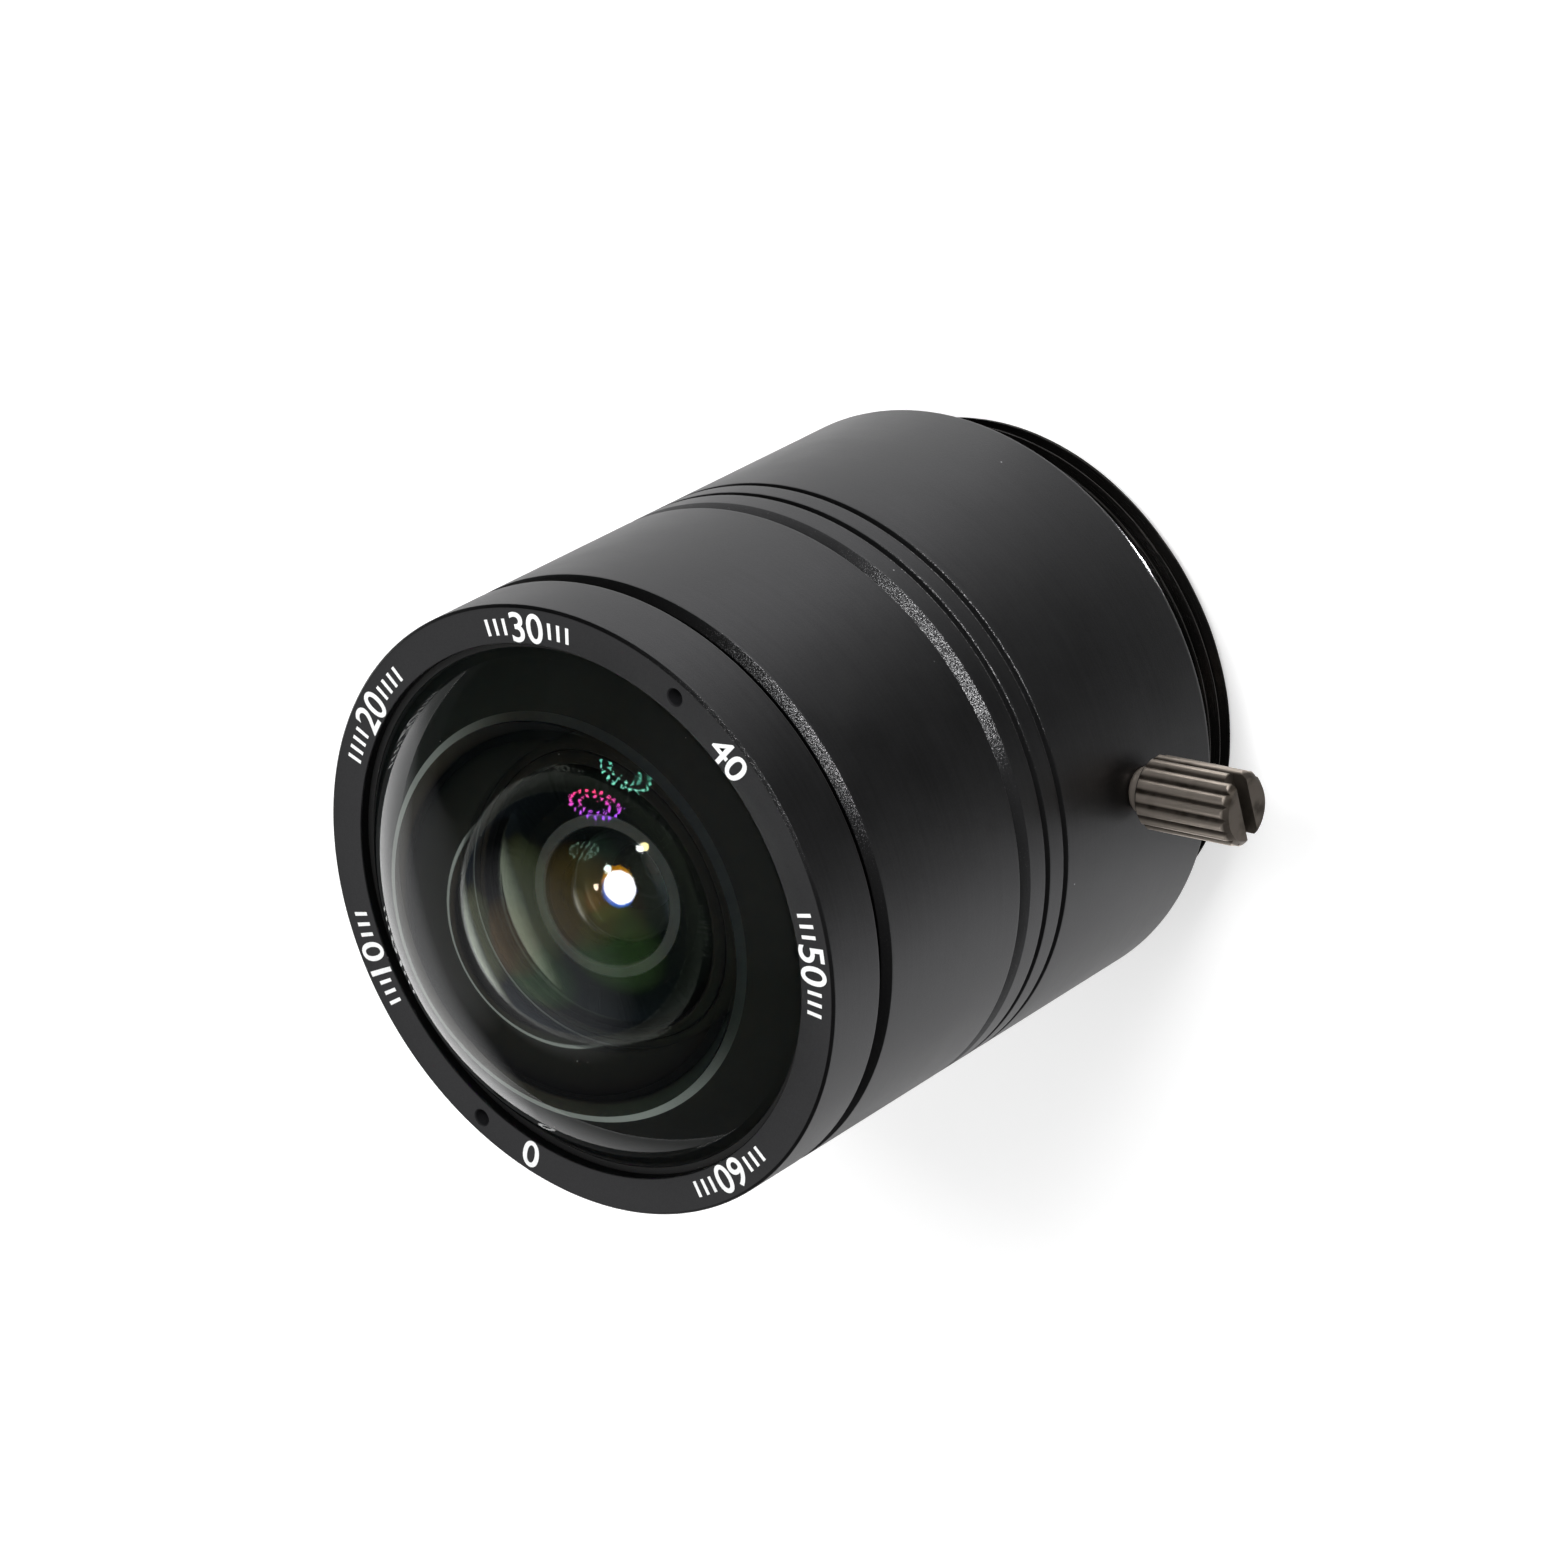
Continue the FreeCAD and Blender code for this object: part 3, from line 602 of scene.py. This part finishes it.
def mirrorCard(name, plan):
    # card just above the floor that only mirrors see: x = r cos t, y = r sin t on a sector, fading at its edges
    t = np.radians(np.linspace(plan["from"], plan["to"], 49))
    u = np.linspace(0, 1, 13)[:, None]
    r = plan["inner"] + (plan["outer"] - plan["inner"]) * u
    x, y = r * np.cos(t), r * np.sin(t)
    rows, columns = x.shape
    spots = np.stack([x, y, np.full(x.shape, plan["height"])], -1).reshape(-1, 3)
    cell = (np.arange(rows - 1)[:, None] * columns + np.arange(columns - 1)).ravel()
    mesh = newMesh(name, spots, np.stack([cell, cell + columns, cell + columns + 1, cell + 1], 1).tolist())
    across = np.sin(np.linspace(0, math.pi, columns)) ** plan["soft"]
    outwards = np.sin(math.pi * np.clip(0.15 + 0.85 * u, 0, 1)) ** 0.4
    cover = (across * outwards).ravel().astype(np.float32)
    mesh.attributes.new("cover", "FLOAT", "POINT").data.foreach_set("value", cover)
    material, start, surface = lightFinish(name)
    share = start.add("Attribute", {"attribute_name": "cover"}, {}, "Fac") * plan.get("cover", 1.0)
    glow = start.add("Emission", {}, {"Color": (1, 1, 1, 1), "Strength": plan["glow"]})
    both = start.add("MixShader", {}, {0: share, 1: start.add("BsdfTransparent"), 2: glow})
    start.tree.links.new(both.socket, surface)
    mesh.materials.append(material)
    card = addObject(name, mesh)
    card.visible_camera = card.visible_diffuse = card.visible_shadow = False
    card.visible_transmission = plan.get("inGlass", False)
    return card


discPlan = {
    "distance": 500, "target": (5.5, 5.0, 35.5), "strength": 60.0, "corners": 16,
    # azimuth, elevation, half angle, colour, and how much further away than the distance
    "discs": ((34.4, 82.2, 5.4, (1.6, 1.6, 1.6), 0), (44.0, 81.8, 5.6, (0.30, 0.12, 0.0), 6),
              (30.0, 83.0, 5.6, (0.0, 0.08, 0.40), 3), (77.0, 80.0, 1.3, (1.0, 1.3, 1.1), -3),
              (52.0, 67.0, 1.4, (1.5, 1.2, 0.5), 0), (54.0, 68.5, 1.2, (1.6, 1.6, 1.5), -3),
              (114.0, 86.0, 0.9, (1.3, 1.0, 0.7), 0)),
    # rings of dots, in half angles: rows are (share of the ring's size, number of dots), dots below "from" are left out
    "rings": ({"middle": (101.0, 61.0), "width": 8.9, "height": 3.9, "lean": 12, "rows": ((1.0, 20), (0.62, 13)),
               "dot": 0.55, "from": -9, "lowColour": (1.2, 0.06, 0.20), "highColour": (0.45, 0.10, 1.1)},
              {"middle": (87.0, 49.5), "width": 9.4, "height": 4.6, "lean": 12, "rows": ((1.0, 20), (0.62, 13)),
               "dot": 0.55, "from": -1.5, "lowColour": (0.05, 0.50, 0.32), "highColour": (0.25, 0.85, 0.60)},
              {"middle": (114.7, 74.4), "width": 4.8, "height": 2.4, "lean": 10, "rows": ((1.0, 14), (0.55, 8)),
               "dot": 0.4, "from": -9, "lowColour": (0.10, 0.16, 0.12), "highColour": (0.08, 0.13, 0.10)}),
}


def mirrorLamps(name, plan):
    # bright discs high above the lens that only mirrors see: a round lamp and rings of small ones
    # each faces the target: point = target + distance x (way + tan(half angle) x (side cos t + rise sin t))
    ways = [towards(azimuth, elevation) for azimuth, elevation, *others in plan["discs"]]
    sizes, colours, depths = (list(column) for column in list(zip(*plan["discs"]))[2:])
    for ring in plan["rings"]:
        way = towards(*ring["middle"])
        side = unit(np.cross(way, (0, 0, 1.0)))
        rise = np.cross(side, way)
        lean = math.radians(ring["lean"])
        for share, count in ring["rows"]:
            t = around(count) + math.pi / count
            wide, high = ring["width"] * share * np.cos(t), ring["height"] * share * np.sin(t)
            across, up = wide * math.cos(lean) - high * math.sin(lean), wide * math.sin(lean) + high * math.cos(lean)
            spot = way + np.tan(np.radians(across))[:, None] * side + np.tan(np.radians(up))[:, None] * rise
            keep = up > ring["from"]
            blend = np.clip(up / ring["height"] * 0.5 + 0.5, 0, 1)[:, None]
            tint = np.array(ring["lowColour"]) * (1 - blend) + np.array(ring["highColour"]) * blend
            ways += list((spot / np.linalg.norm(spot, axis=1)[:, None])[keep])
            colours += tint[keep].tolist()
            sizes += [ring["dot"]] * int(keep.sum())
            depths += [0] * int(keep.sum())
    ways, sizes, depths = np.array(ways), np.tan(np.radians(sizes)), np.array(depths)
    side = np.cross(ways, (0.3, 0.1, 1.0))
    side /= np.linalg.norm(side, axis=1)[:, None]
    rise = np.cross(side, ways)
    count, t = plan["corners"], around(plan["corners"])[:, None]
    rim = side[:, None] * np.cos(t) + rise[:, None] * np.sin(t)
    reach = (plan["distance"] + depths)[:, None, None]
    points = (np.array(plan["target"]) + reach * (ways[:, None] + sizes[:, None, None] * rim)).reshape(-1, 3)
    mesh = newMesh(name, points, np.arange(len(points)).reshape(-1, count).tolist())
    glow = np.repeat(np.hstack([colours, np.ones((len(colours), 1))]), count, axis=0)
    mesh.attributes.new("glow", "FLOAT_COLOR", "POINT").data.foreach_set("color", glow.ravel().astype(np.float32))
    material, start, surface = lightFinish(name)
    tint = start.add("Attribute", {"attribute_name": "glow"})
    light = start.add("Emission", {}, {"Color": tint, "Strength": plan["strength"]})
    start.tree.links.new(light.socket, surface)
    mesh.materials.append(material)
    lamps = addObject(name, mesh)
    lamps.visible_camera = lamps.visible_diffuse = lamps.visible_shadow = lamps.visible_transmission = False
    return lamps


def shineOn(card, piece):
    # the card's light reaches this piece alone
    group = bpy.data.collections.new(card.name + "Pieces")
    group.objects.link(piece)
    card.light_linking.receiver_collection = group


bpy.context.scene.view_settings.view_transform = "Standard"
addCamera(cameraPlan)
addWorld(worldPlan)
addFloor(floorPlan)
for lampName, lampPlan in lampPlans.items():
    addLamp(lampName, lampPlan)
cards = {cardName: mirrorCard(cardName, cardPlan) for cardName, cardPlan in cardPlans.items()}
lampDiscs = mirrorLamps("lampDiscs", discPlan)
print("camera, lamps and floor in place")


# barrel pieces

rearBarrelPlan = {
    "neckR": 13.0, "neckTopZ": 22.1, "neckThreadR": 11.53, "threadBottomZ": 19.85, "slideBoreR": 10.45,
    "spigotBoreR": 11.73, "recessR": 12.8, "recessZ": 4.15, "spigotTopZ": 7.5, "edgeR": 0.4,
    "chamferLength": 0.65, "chamferDepth": 0.3, "grooves": (15.35, 16.71), "grooveHalf": 0.18, "grooveDepth": 0.25,
    "grooveEdgeR": 0.06, "grooveFloorR": 0.03, "soft": 0.05, "keywayLow": (-11.45, -0.55, 12.9),
    "keywayHigh": (-5.2, 0.55, 23.1), "screwHole": {"from": 5.0, "to": 16.0, "r": 1.0, "z": shared["screwZ"]},
}


def makeRearBarrel(plan):
    # fixed shell with shoulder, two V grooves, front chamfer and the neck that the focus ring turns on
    p, outerR, low, top = plan, shared["barrelR"], shared["flangeZ"], shared["rearTopZ"]
    corners = [(p["spigotBoreR"], p["recessZ"]), (p["recessR"], p["recessZ"]),
               (p["recessR"], low, p["soft"]), (outerR, low, p["edgeR"])]
    for z in p["grooves"]:
        corners += [(outerR, z - p["grooveHalf"], p["grooveEdgeR"], 1),
                    (outerR - p["grooveDepth"], z, p["grooveFloorR"]),
                    (outerR, z + p["grooveHalf"], p["grooveEdgeR"], 1)]
    corners += [(outerR, top - p["chamferLength"], 0.06, 1.01), (outerR - p["chamferDepth"], top, 0.05, 1.01),
                (p["neckR"], top), (p["neckR"], p["neckTopZ"], p["soft"]),
                (p["neckThreadR"], p["neckTopZ"]), (p["neckThreadR"], p["threadBottomZ"]),
                (p["slideBoreR"], p["threadBottomZ"], p["soft"]), (p["slideBoreR"], p["spigotTopZ"]),
                (p["spigotBoreR"], p["spigotTopZ"])]
    barrel = turnedPiece("rearBarrelShell", rounded(corners), [satinBlack])
    carve(barrel, [barCutter("keyway", p["keywayLow"], p["keywayHigh"], satinBlack),
                   drillCutter("screwHole", p["screwHole"], 48, satinBlack)])
    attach(barrel, "rear_body")
    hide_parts("rear_barrel")
    return barrel


focusRingPlan = {"bottomZ": 18.75, "topZ": 28.35, "chamfer": 0.35, "neckBoreR": 13.05, "bottomFlangeZ": 22.15,
                 "topFlangeZ": 23.15, "flangeR": 11.6, "threadBoreR": 12.45}


def makeFocusRing(plan):
    # sleeve with a flange inside and a chamfer in front
    p, outerR = plan, shared["barrelR"]
    corners = [(p["neckBoreR"], p["bottomZ"], 0.05), (outerR, p["bottomZ"], 0.06, 0.6),
               (outerR, p["topZ"] - p["chamfer"], 0.06, 1.01), (outerR - p["chamfer"], p["topZ"], 0.05, 1.01),
               (p["threadBoreR"], p["topZ"], 0.04), (p["threadBoreR"], p["topFlangeZ"]),
               (p["flangeR"], p["topFlangeZ"], 0.04), (p["flangeR"], p["bottomFlangeZ"], 0.04),
               (p["neckBoreR"], p["bottomFlangeZ"])]
    ring = turnedPiece("focusRingSleeve", rounded(corners), [satinBlack])
    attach(ring, "focus_sleeve")
    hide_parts("focus_ring")


frontRingPlan = {"bottomZ": 28.85, "threadR": 12.83, "openingR": 12.43, "lipZ": 31.6, "edge": 0.12,
                 "holes": (58.0, 238.0), "holeR": 0.38, "holeDepth": 0.9, "holeCircleR": 13.315, "holeCone": 0.15,
                 "holeChamfer": 0.05, "overcut": 0.5, "holeTurns": 40}


def makeFrontRing(plan):
    # threaded ring with a lip, and two holes for a pin spanner: x = r cos t, y = r sin t round each hole's axis
    p, outerR, top = plan, shared["barrelR"], shared["frontFaceZ"]
    corners = [(p["threadR"], p["bottomZ"]), (outerR, p["bottomZ"], 0.08, 0.3),
               (outerR, top - p["edge"], 0.05, 0.86), (outerR - p["edge"], top, 0.05, 0.86),
               (p["openingR"], top, 0.07), (p["openingR"], p["lipZ"], 0.04),
               (p["threadR"], p["lipZ"])]
    ring = turnedPiece("frontRetainingRing", rounded(corners, guard=0.08), [satinBlack, innerBlack])
    t, bottom, wideR = around(p["holeTurns"]), top - p["holeDepth"], p["holeR"] + p["holeChamfer"]
    outline = np.array([(0, bottom - p["holeCone"]), (p["holeR"], bottom), (p["holeR"], top - p["holeChamfer"]),
                        (wideR, top), (wideR, top + p["overcut"]), (0, top + p["overcut"])])
    x, y = outline[:, :1] * np.cos(t), outline[:, :1] * np.sin(t)
    z = outline[:, 1:] * np.ones(x.shape)
    middles = [towards(azimuth, 0) * p["holeCircleR"] for azimuth in p["holes"]]
    carve(ring, [gridPiece("spannerHole", x + middle[0], y + middle[1], z, [0] * 6, [], False, [innerBlack])
                 for middle in middles])
    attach(ring, "lens_group")
    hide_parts("front_ring")


mountPlan = {"threadR": 12.7, "pitch": 0.794, "depth": 0.46, "threadTopZ": 3.2, "reliefR": 12.0, "reliefTopZ": 4.15,
             "spigotR": 11.7, "spigotTopZ": 7.5, "boreR": 10.45, "boreChamfer": 0.3, "endChamfer": 0.15,
             "flank": 2.48, "crest": 0.12, "rows": 97, "turns": 384}


def makeMountRing(plan):
    # screw thread: r = major - depth x wave(height / pitch - turn), cut off by the end chamfer
    # wave = flank x (distance from the middle of a turn of thread) - crest, between 0 and 1
    p, t = plan, around(plan["turns"])
    ones = np.ones((1, p["turns"]))
    rowsZ = np.linspace(0, p["threadTopZ"], p["rows"])[:, None]
    phase = (rowsZ / p["pitch"] - t[None, :] / (2 * math.pi)) % 1.0
    wave = np.clip(np.abs(phase - 0.5) * p["flank"] - p["crest"], 0, 1)
    thread = np.minimum(p["threadR"] - p["depth"] * wave, p["threadR"] - p["endChamfer"] + rowsZ)
    bore = np.array([(p["boreR"], p["spigotTopZ"]), (p["boreR"], p["boreChamfer"]),
                     (p["boreR"] + p["boreChamfer"], 0)])
    spigot = np.array([(p["reliefR"], p["threadTopZ"]), (p["reliefR"], p["reliefTopZ"]),
                       (p["spigotR"], p["reliefTopZ"]), (p["spigotR"], p["spigotTopZ"])])
    r = np.vstack([bore[:, :1] * ones, thread, spigot[:, :1] * ones])
    z = np.vstack([bore[:, 1:] * ones, rowsZ * ones, spigot[:, 1:] * ones])
    ring = gridPiece("mountThreadRing", r * np.cos(t), r * np.sin(t), z, [0] * len(r), [], True, [glossBlack], 40)
    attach(ring, "rear_body")
    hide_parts("mount_ring")


cellPlan = {
    "rearBoreR": 6.5, "tailBottomZ": 4.48, "tailR": 10.4, "helicoidBottomZ": 24.8, "helicoidR": 12.4,
    "collarBottomZ": 28.9, "collarR": 12.8, "collarTopZ": 31.3, "glass1BoreR": 12.33, "glass1SeatZ": 30.5,
    "glass2BoreR": 7.43, "webTopZ": 26.55, "webR": 4.6, "webBottomZ": 25.85,
    "pinHole": {"from": -9.2, "to": -12.0, "r": 0.5, "z": shared["pinZ"]},
}


def makeLensCell(plan):
    # inner barrel: tail, threaded middle, collar, and the stepped seats of the glass
    p = plan
    corners = [(p["rearBoreR"], p["tailBottomZ"], 0.1), (p["tailR"], p["tailBottomZ"], 0.15),
               (p["tailR"], p["helicoidBottomZ"]), (p["helicoidR"], p["helicoidBottomZ"], 0.05),
               (p["helicoidR"], p["collarBottomZ"]), (p["collarR"], p["collarBottomZ"], 0.05),
               (p["collarR"], p["collarTopZ"], 0.04), (p["glass1BoreR"], p["collarTopZ"], 0.04),
               (p["glass1BoreR"], p["glass1SeatZ"]), (p["glass2BoreR"], p["glass1SeatZ"], 0.06),
               (p["glass2BoreR"], p["webTopZ"]), (p["webR"], p["webTopZ"], 0.05),
               (p["webR"], p["webBottomZ"], 0.05), (p["rearBoreR"], p["webBottomZ"])]
    cell = turnedPiece("lensCellBody", rounded(corners), [innerBlack])
    carve(cell, [drillCutter("pinHole", p["pinHole"], 40, innerBlack)])
    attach(cell, "lens_group")
    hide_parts("lens_cell")


shineOn(cards["edgeGlint"], makeRearBarrel(rearBarrelPlan))
makeFocusRing(focusRingPlan)
makeFrontRing(frontRingPlan)
makeMountRing(mountPlan)
makeLensCell(cellPlan)
print("barrel pieces made")


# numbers on the front ring

dialPlan = {
    "circleR": 13.2, "height": 1.38, "textSize": 1.96, "bolder": 0.022, "ink": 0.012,
    "tickStep": 2.15, "tickGap": 0.75, "tickWidth": 0.17, "tickLength": 0.75,
    # azimuth, number, and ticks on each side of it
    "groups": ((94.0, "30", 3), (144.5, "20", 4), (200.0, "10", 3), (251.0, "0", 0), (304.0, "60", 3),
               (0.6, "50", 3), (42.7, "40", 0)),
}


def flatNumber(word, plan):
    # points and faces of a number, centred, at the plan's height
    curve = bpy.data.curves.new("number", "FONT")
    curve.body, curve.size, curve.align_x, curve.align_y = word, plan["textSize"], "CENTER", "CENTER"
    curve.extrude, curve.offset, curve.resolution_u = plan["ink"], plan["bolder"], 6
    holder = addObject("number", curve)
    bpy.context.view_layer.update()
    flat = bpy.data.meshes.new_from_object(holder.evaluated_get(bpy.context.evaluated_depsgraph_get()))
    spots = np.zeros(len(flat.vertices) * 3)
    flat.vertices.foreach_get("co", spots)
    spots = spots.reshape(-1, 3)
    spots[:, :2] -= (spots[:, :2].min(0) + spots[:, :2].max(0)) / 2
    spots[:, 1] *= plan["height"] / np.ptp(spots[:, 1])
    faces = [tuple(polygon.vertices) for polygon in flat.polygons]
    bpy.data.objects.remove(holder)
    bpy.data.curves.remove(curve)
    bpy.data.meshes.remove(flat)
    return spots, faces


def makeDial(plan):
    # marks are laid flat, then bent round the axis: turn = azimuth - x / radius, distance = radius + y
    spots, faces = [], []

    def take(flat, polygons, azimuth):
        turn, r = math.radians(azimuth) - flat[:, 0] / plan["circleR"], plan["circleR"] + flat[:, 1]
        total = sum(len(part) for part in spots)
        faces.extend(tuple(corner + total for corner in polygon) for polygon in polygons)
        spots.append(np.stack([r * np.cos(turn), r * np.sin(turn), shared["frontFaceZ"] + flat[:, 2]], 1))

    corner = np.array([[i, j, k] for k in (-1, 1) for j in (-1, 1) for i in (-1, 1)])
    tick = corner * (plan["tickWidth"] / 2, plan["tickLength"] / 2, plan["ink"])
    tickFaces = [(0, 2, 3, 1), (4, 5, 7, 6), (0, 1, 5, 4), (2, 6, 7, 3), (0, 4, 6, 2), (1, 3, 7, 5)]
    for azimuth, word, ticks in plan["groups"]:
        number, numberFaces = flatNumber(word, plan)
        take(number, numberFaces, azimuth)
        halfWord = math.degrees(np.ptp(number[:, 0]) / 2 / plan["circleR"])
        for side in (-1, 1):
            for count in range(ticks):
                take(tick, tickFaces, azimuth + side * (halfWord + (count + plan["tickGap"]) * plan["tickStep"]))
    dial = addObject("dialNumbers", newMesh("dialNumbers", np.vstack(spots), faces))
    dial.data.materials.append(whiteInk)
    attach(dial, "lens_group")


makeDial(dialPlan)
print("dial numbers made")


# glass

frontGlassPlan = {"edgeR": 12.3, "seatZ": 30.51, "bevel": 0.28, "rimR": 7.85, "thickness": 1.4, "steps": 90}


def makeFrontGlass(plan):
    # dome over a deep hollow; black paint on the seat and edge, a ground bevel at the hollow's rim
    # dome: r = curve x sin(angle), z = apex - curve + curve x cos(angle)
    p, dome = plan, shared["dome"]
    apex = dome["rimZ"] + dome["rise"]
    rimZ = p["seatZ"] + p["bevel"]
    hollow = arcPoints(p["rimR"], rimZ, apex - p["thickness"] - rimZ, p["steps"])
    curve = capCurve(dome["rimR"], dome["rise"])
    angles = np.linspace(math.asin(p["edgeR"] / curve), 0, p["steps"])
    outer = np.stack([curve * np.sin(angles), apex - curve + curve * np.cos(angles)], 1).tolist()
    points = hollow + [(p["rimR"] + p["bevel"], p["seatZ"]), (p["edgeR"], p["seatZ"])] + outer
    sides = [1] * (len(hollow) - 1) + [3, 2, 2] + [0] * len(outer)
    frontGlass = turnedPiece("frontGlass", (points, sides, []), [domeCoat, hollowCoat, seatPaint, groundEdge], 360, 25)
    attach(frontGlass, "lens_group")
    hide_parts("front_element")
    return frontGlass


sealPlan = {"innerR": 12.11, "outerR": 12.8, "boreR": 12.33, "bottomZ": 31.3, "topZ": 31.6, "gap": 0.01}


def makeSeal(plan):
    # rubber ring whose inner side follows the dome at a small gap
    p, dome = plan, shared["dome"]
    middleR = (p["innerR"] + p["boreR"]) / 2
    middleZ, boreZ = (capZ(dome["rimR"], dome["rimZ"], dome["rise"], r) + p["gap"] for r in (middleR, p["boreR"]))
    corners = [(p["outerR"], p["bottomZ"]), (p["outerR"], p["topZ"]),
               (p["innerR"], p["topZ"], 0.015), (middleR, middleZ),
               (p["boreR"], boreZ), (p["boreR"], p["bottomZ"])]
    seal = turnedPiece("frontSealRing", rounded(corners), [sealBlack])
    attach(seal, "lens_group")
    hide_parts("front_seal")


def lensOutline(plan, rings=()):
    # counter-clockwise outline: rear surface outwards, rings on the rear flat, edge, front surface inwards
    # front and rear are (clear radius, rise, steps); rings are (radius, finish of the flat outside it)
    # finishes: 0 in front, 1 behind, 2 on the edge
    points = arcPoints(plan["rear"][0], plan["bottomZ"], plan["rear"][1], plan["rear"][2])
    sides = [1] * (len(points) - 1) + [rings[0][1] if rings else 2]
    for radius, side in rings[1:]:
        points.append((radius, plan["bottomZ"])), sides.append(side)
    points += [(plan["edgeR"], plan["bottomZ"]), (plan["edgeR"], plan["topZ"])]
    inward = arcPoints(plan["front"][0], plan["topZ"], plan["front"][1], plan["front"][2], False)
    sides += [2, 2] + [0] * len(inward)
    return points + inward, sides, []


secondGlassPlan = {"edgeR": 7.4, "bottomZ": 26.55, "topZ": 29.85, "front": (6.9, 1.38, 60), "rear": (3.3, 1.6, 50),
                   "groundTo": 3.8}
secondRingPlan = {"innerR": 6.9, "outerR": 7.4, "bottomZ": 29.85, "topZ": 30.45}


def makeSecondGlass(plan):
    # meniscus with a ground ring round its hollow and black paint on the rest of its rear flat
    outline = lensOutline(plan, ((plan["rear"][0], 3), (plan["groundTo"], 2)))
    secondGlass = turnedPiece("secondGlass", outline, [secondCoat, innerCoat, glassPaint, groundRing], 300, 25)
    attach(secondGlass, "lens_group")
    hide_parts("second_element")


def makeSecondRing(plan):
    p = plan
    corners = [(p["innerR"], p["bottomZ"]), (p["outerR"], p["bottomZ"]),
               (p["outerR"], p["topZ"], 0.05), (p["innerR"], p["topZ"], 0.12)]
    ring = turnedPiece("secondGlassRing", rounded(corners), [innerBlack], 240)
    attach(ring, "lens_group")
    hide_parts("second_element_ring")


stackPlans = {
    "thirdGlass": {"node": "third_element", "front": (4.5, 0.96, 50), "rear": (5.27, -0.94, 50), "edgeR": 6.47,
                   "bottomZ": 24.05, "topZ": 25.85, "finishes": (innerCoat, rearCoat)},
    "sixthGlass": {"node": "sixth_element", "front": (5.27, 1.18, 40), "rear": (5.27, -1.08, 40), "edgeR": 6.47,
                   "bottomZ": 9.93, "topZ": 11.43, "finishes": (rearCoat, innerCoat)},
    "rearGlass": {"node": "rear_element", "front": (5.27, -1.18, 40), "rear": (5.27, -0.87, 40), "edgeR": 6.47,
                  "bottomZ": 6.63, "topZ": 8.33, "finishes": (rearCoat, rearCoat)},
}


def makeStackGlass(name, plan):
    lensPiece = turnedPiece(name, lensOutline(plan), [*plan["finishes"], glassPaint], 240, 25)
    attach(lensPiece, "lens_group")
    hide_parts(plan["node"])


shineOn(lampDiscs, makeFrontGlass(frontGlassPlan))
makeSeal(sealPlan)
makeSecondGlass(secondGlassPlan)
makeSecondRing(secondRingPlan)
for lensName, lensPlan in stackPlans.items():
    makeStackGlass(lensName, lensPlan)
print("glass made")


# lock screw

screwPlan = {
    "shankEndX": 10.73, "shankR": 0.95, "shankChamfer": 0.1, "seatX": 14.25, "neckR": 1.07, "neckChamfer": 0.08,
    "headX": 14.9, "headR": 1.72, "endX": 19.9, "ridges": 16, "ridgeDepth": 0.2, "rearChamfer": 0.2,
    "frontChamfer": 0.3, "socketR": 0.63, "socketEndX": 11.38, "slotWidth": 0.8, "slotDepth": 0.7, "slotTurn": 12.0,
    "turns": 320,
}


def makeScrew(plan):
    # head: r = smaller of ridge(turn) and chamfer(x); ridge = top - depth x (2u - 1)^2, u the share of a ridge
    p, t = plan, around(plan["turns"])
    u = (t * p["ridges"] / (2 * math.pi)) % 1.0
    ridge = p["headR"] - p["ridgeDepth"] * (2 * u - 1) ** 2
    x0, x1, headR = p["headX"], p["endX"], p["headR"]
    rowsX = np.concatenate([np.linspace(x0, x0 + p["rearChamfer"] + 0.05, 12), np.linspace(x0 + 0.4, x1 - 0.45, 12),
                            np.linspace(x1 - p["frontChamfer"] - 0.05, x1, 18)])
    limit = np.minimum(headR - p["rearChamfer"] + (rowsX - x0), headR - p["frontChamfer"] + (x1 - rowsX))
    head = np.minimum(ridge[None, :], limit[:, None])
    shank = np.array([
        (0, p["socketEndX"]), (p["socketR"], p["socketEndX"]), (p["socketR"], p["shankEndX"]),
        (p["shankR"] - p["shankChamfer"], p["shankEndX"]), (p["shankR"], p["shankEndX"] + p["shankChamfer"]),
        (p["shankR"], p["seatX"]), (p["neckR"] - p["neckChamfer"], p["seatX"]),
        (p["neckR"], p["seatX"] + p["neckChamfer"]), (p["neckR"], x0), (headR - p["rearChamfer"] - 0.25, x0)])
    ones = np.ones((1, p["turns"]))
    r = np.vstack([shank[:, :1] * ones, head, ones * 0])
    x = np.vstack([shank[:, 1:] * ones, rowsX[:, None] * ones, ones * x1])
    y, z = r * np.cos(t), r * np.sin(t) + shared["screwZ"]
    screw = gridPiece("lockScrew", x, y, z, [0] * len(r), [], False, [screwNickel], 38)
    half = p["slotWidth"] / 2
    carve(screw, [barCutter("slot", (x1 - p["slotDepth"], -3, -half), (x1 + 1, 3, half), screwNickel,
                            p["slotTurn"], shared["screwZ"])], 38)
    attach(screw, "lock_screw")
    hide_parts("thumb_screw")


makeScrew(screwPlan)
print("lock screw made")


# CAD nodes that stay

keptFinishes = {
    "guide_pin": pinSteel, "screw_tip": tipNylon, "doublet_crown": rearCoat, "doublet_flint": innerCoat,
    **dict.fromkeys(("focus_retainer", "long_spacer", "aperture_stop", "stop_spacer", "doublet_spacer", "rear_spacer",
                     "rear_retaining_ring"), innerBlack),
}
for nodeName, nodeFinish in keptFinishes.items():
    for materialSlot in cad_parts[nodeName].material_slots:
        materialSlot.material = nodeFinish
print("kept nodes finished:", len(keptFinishes))
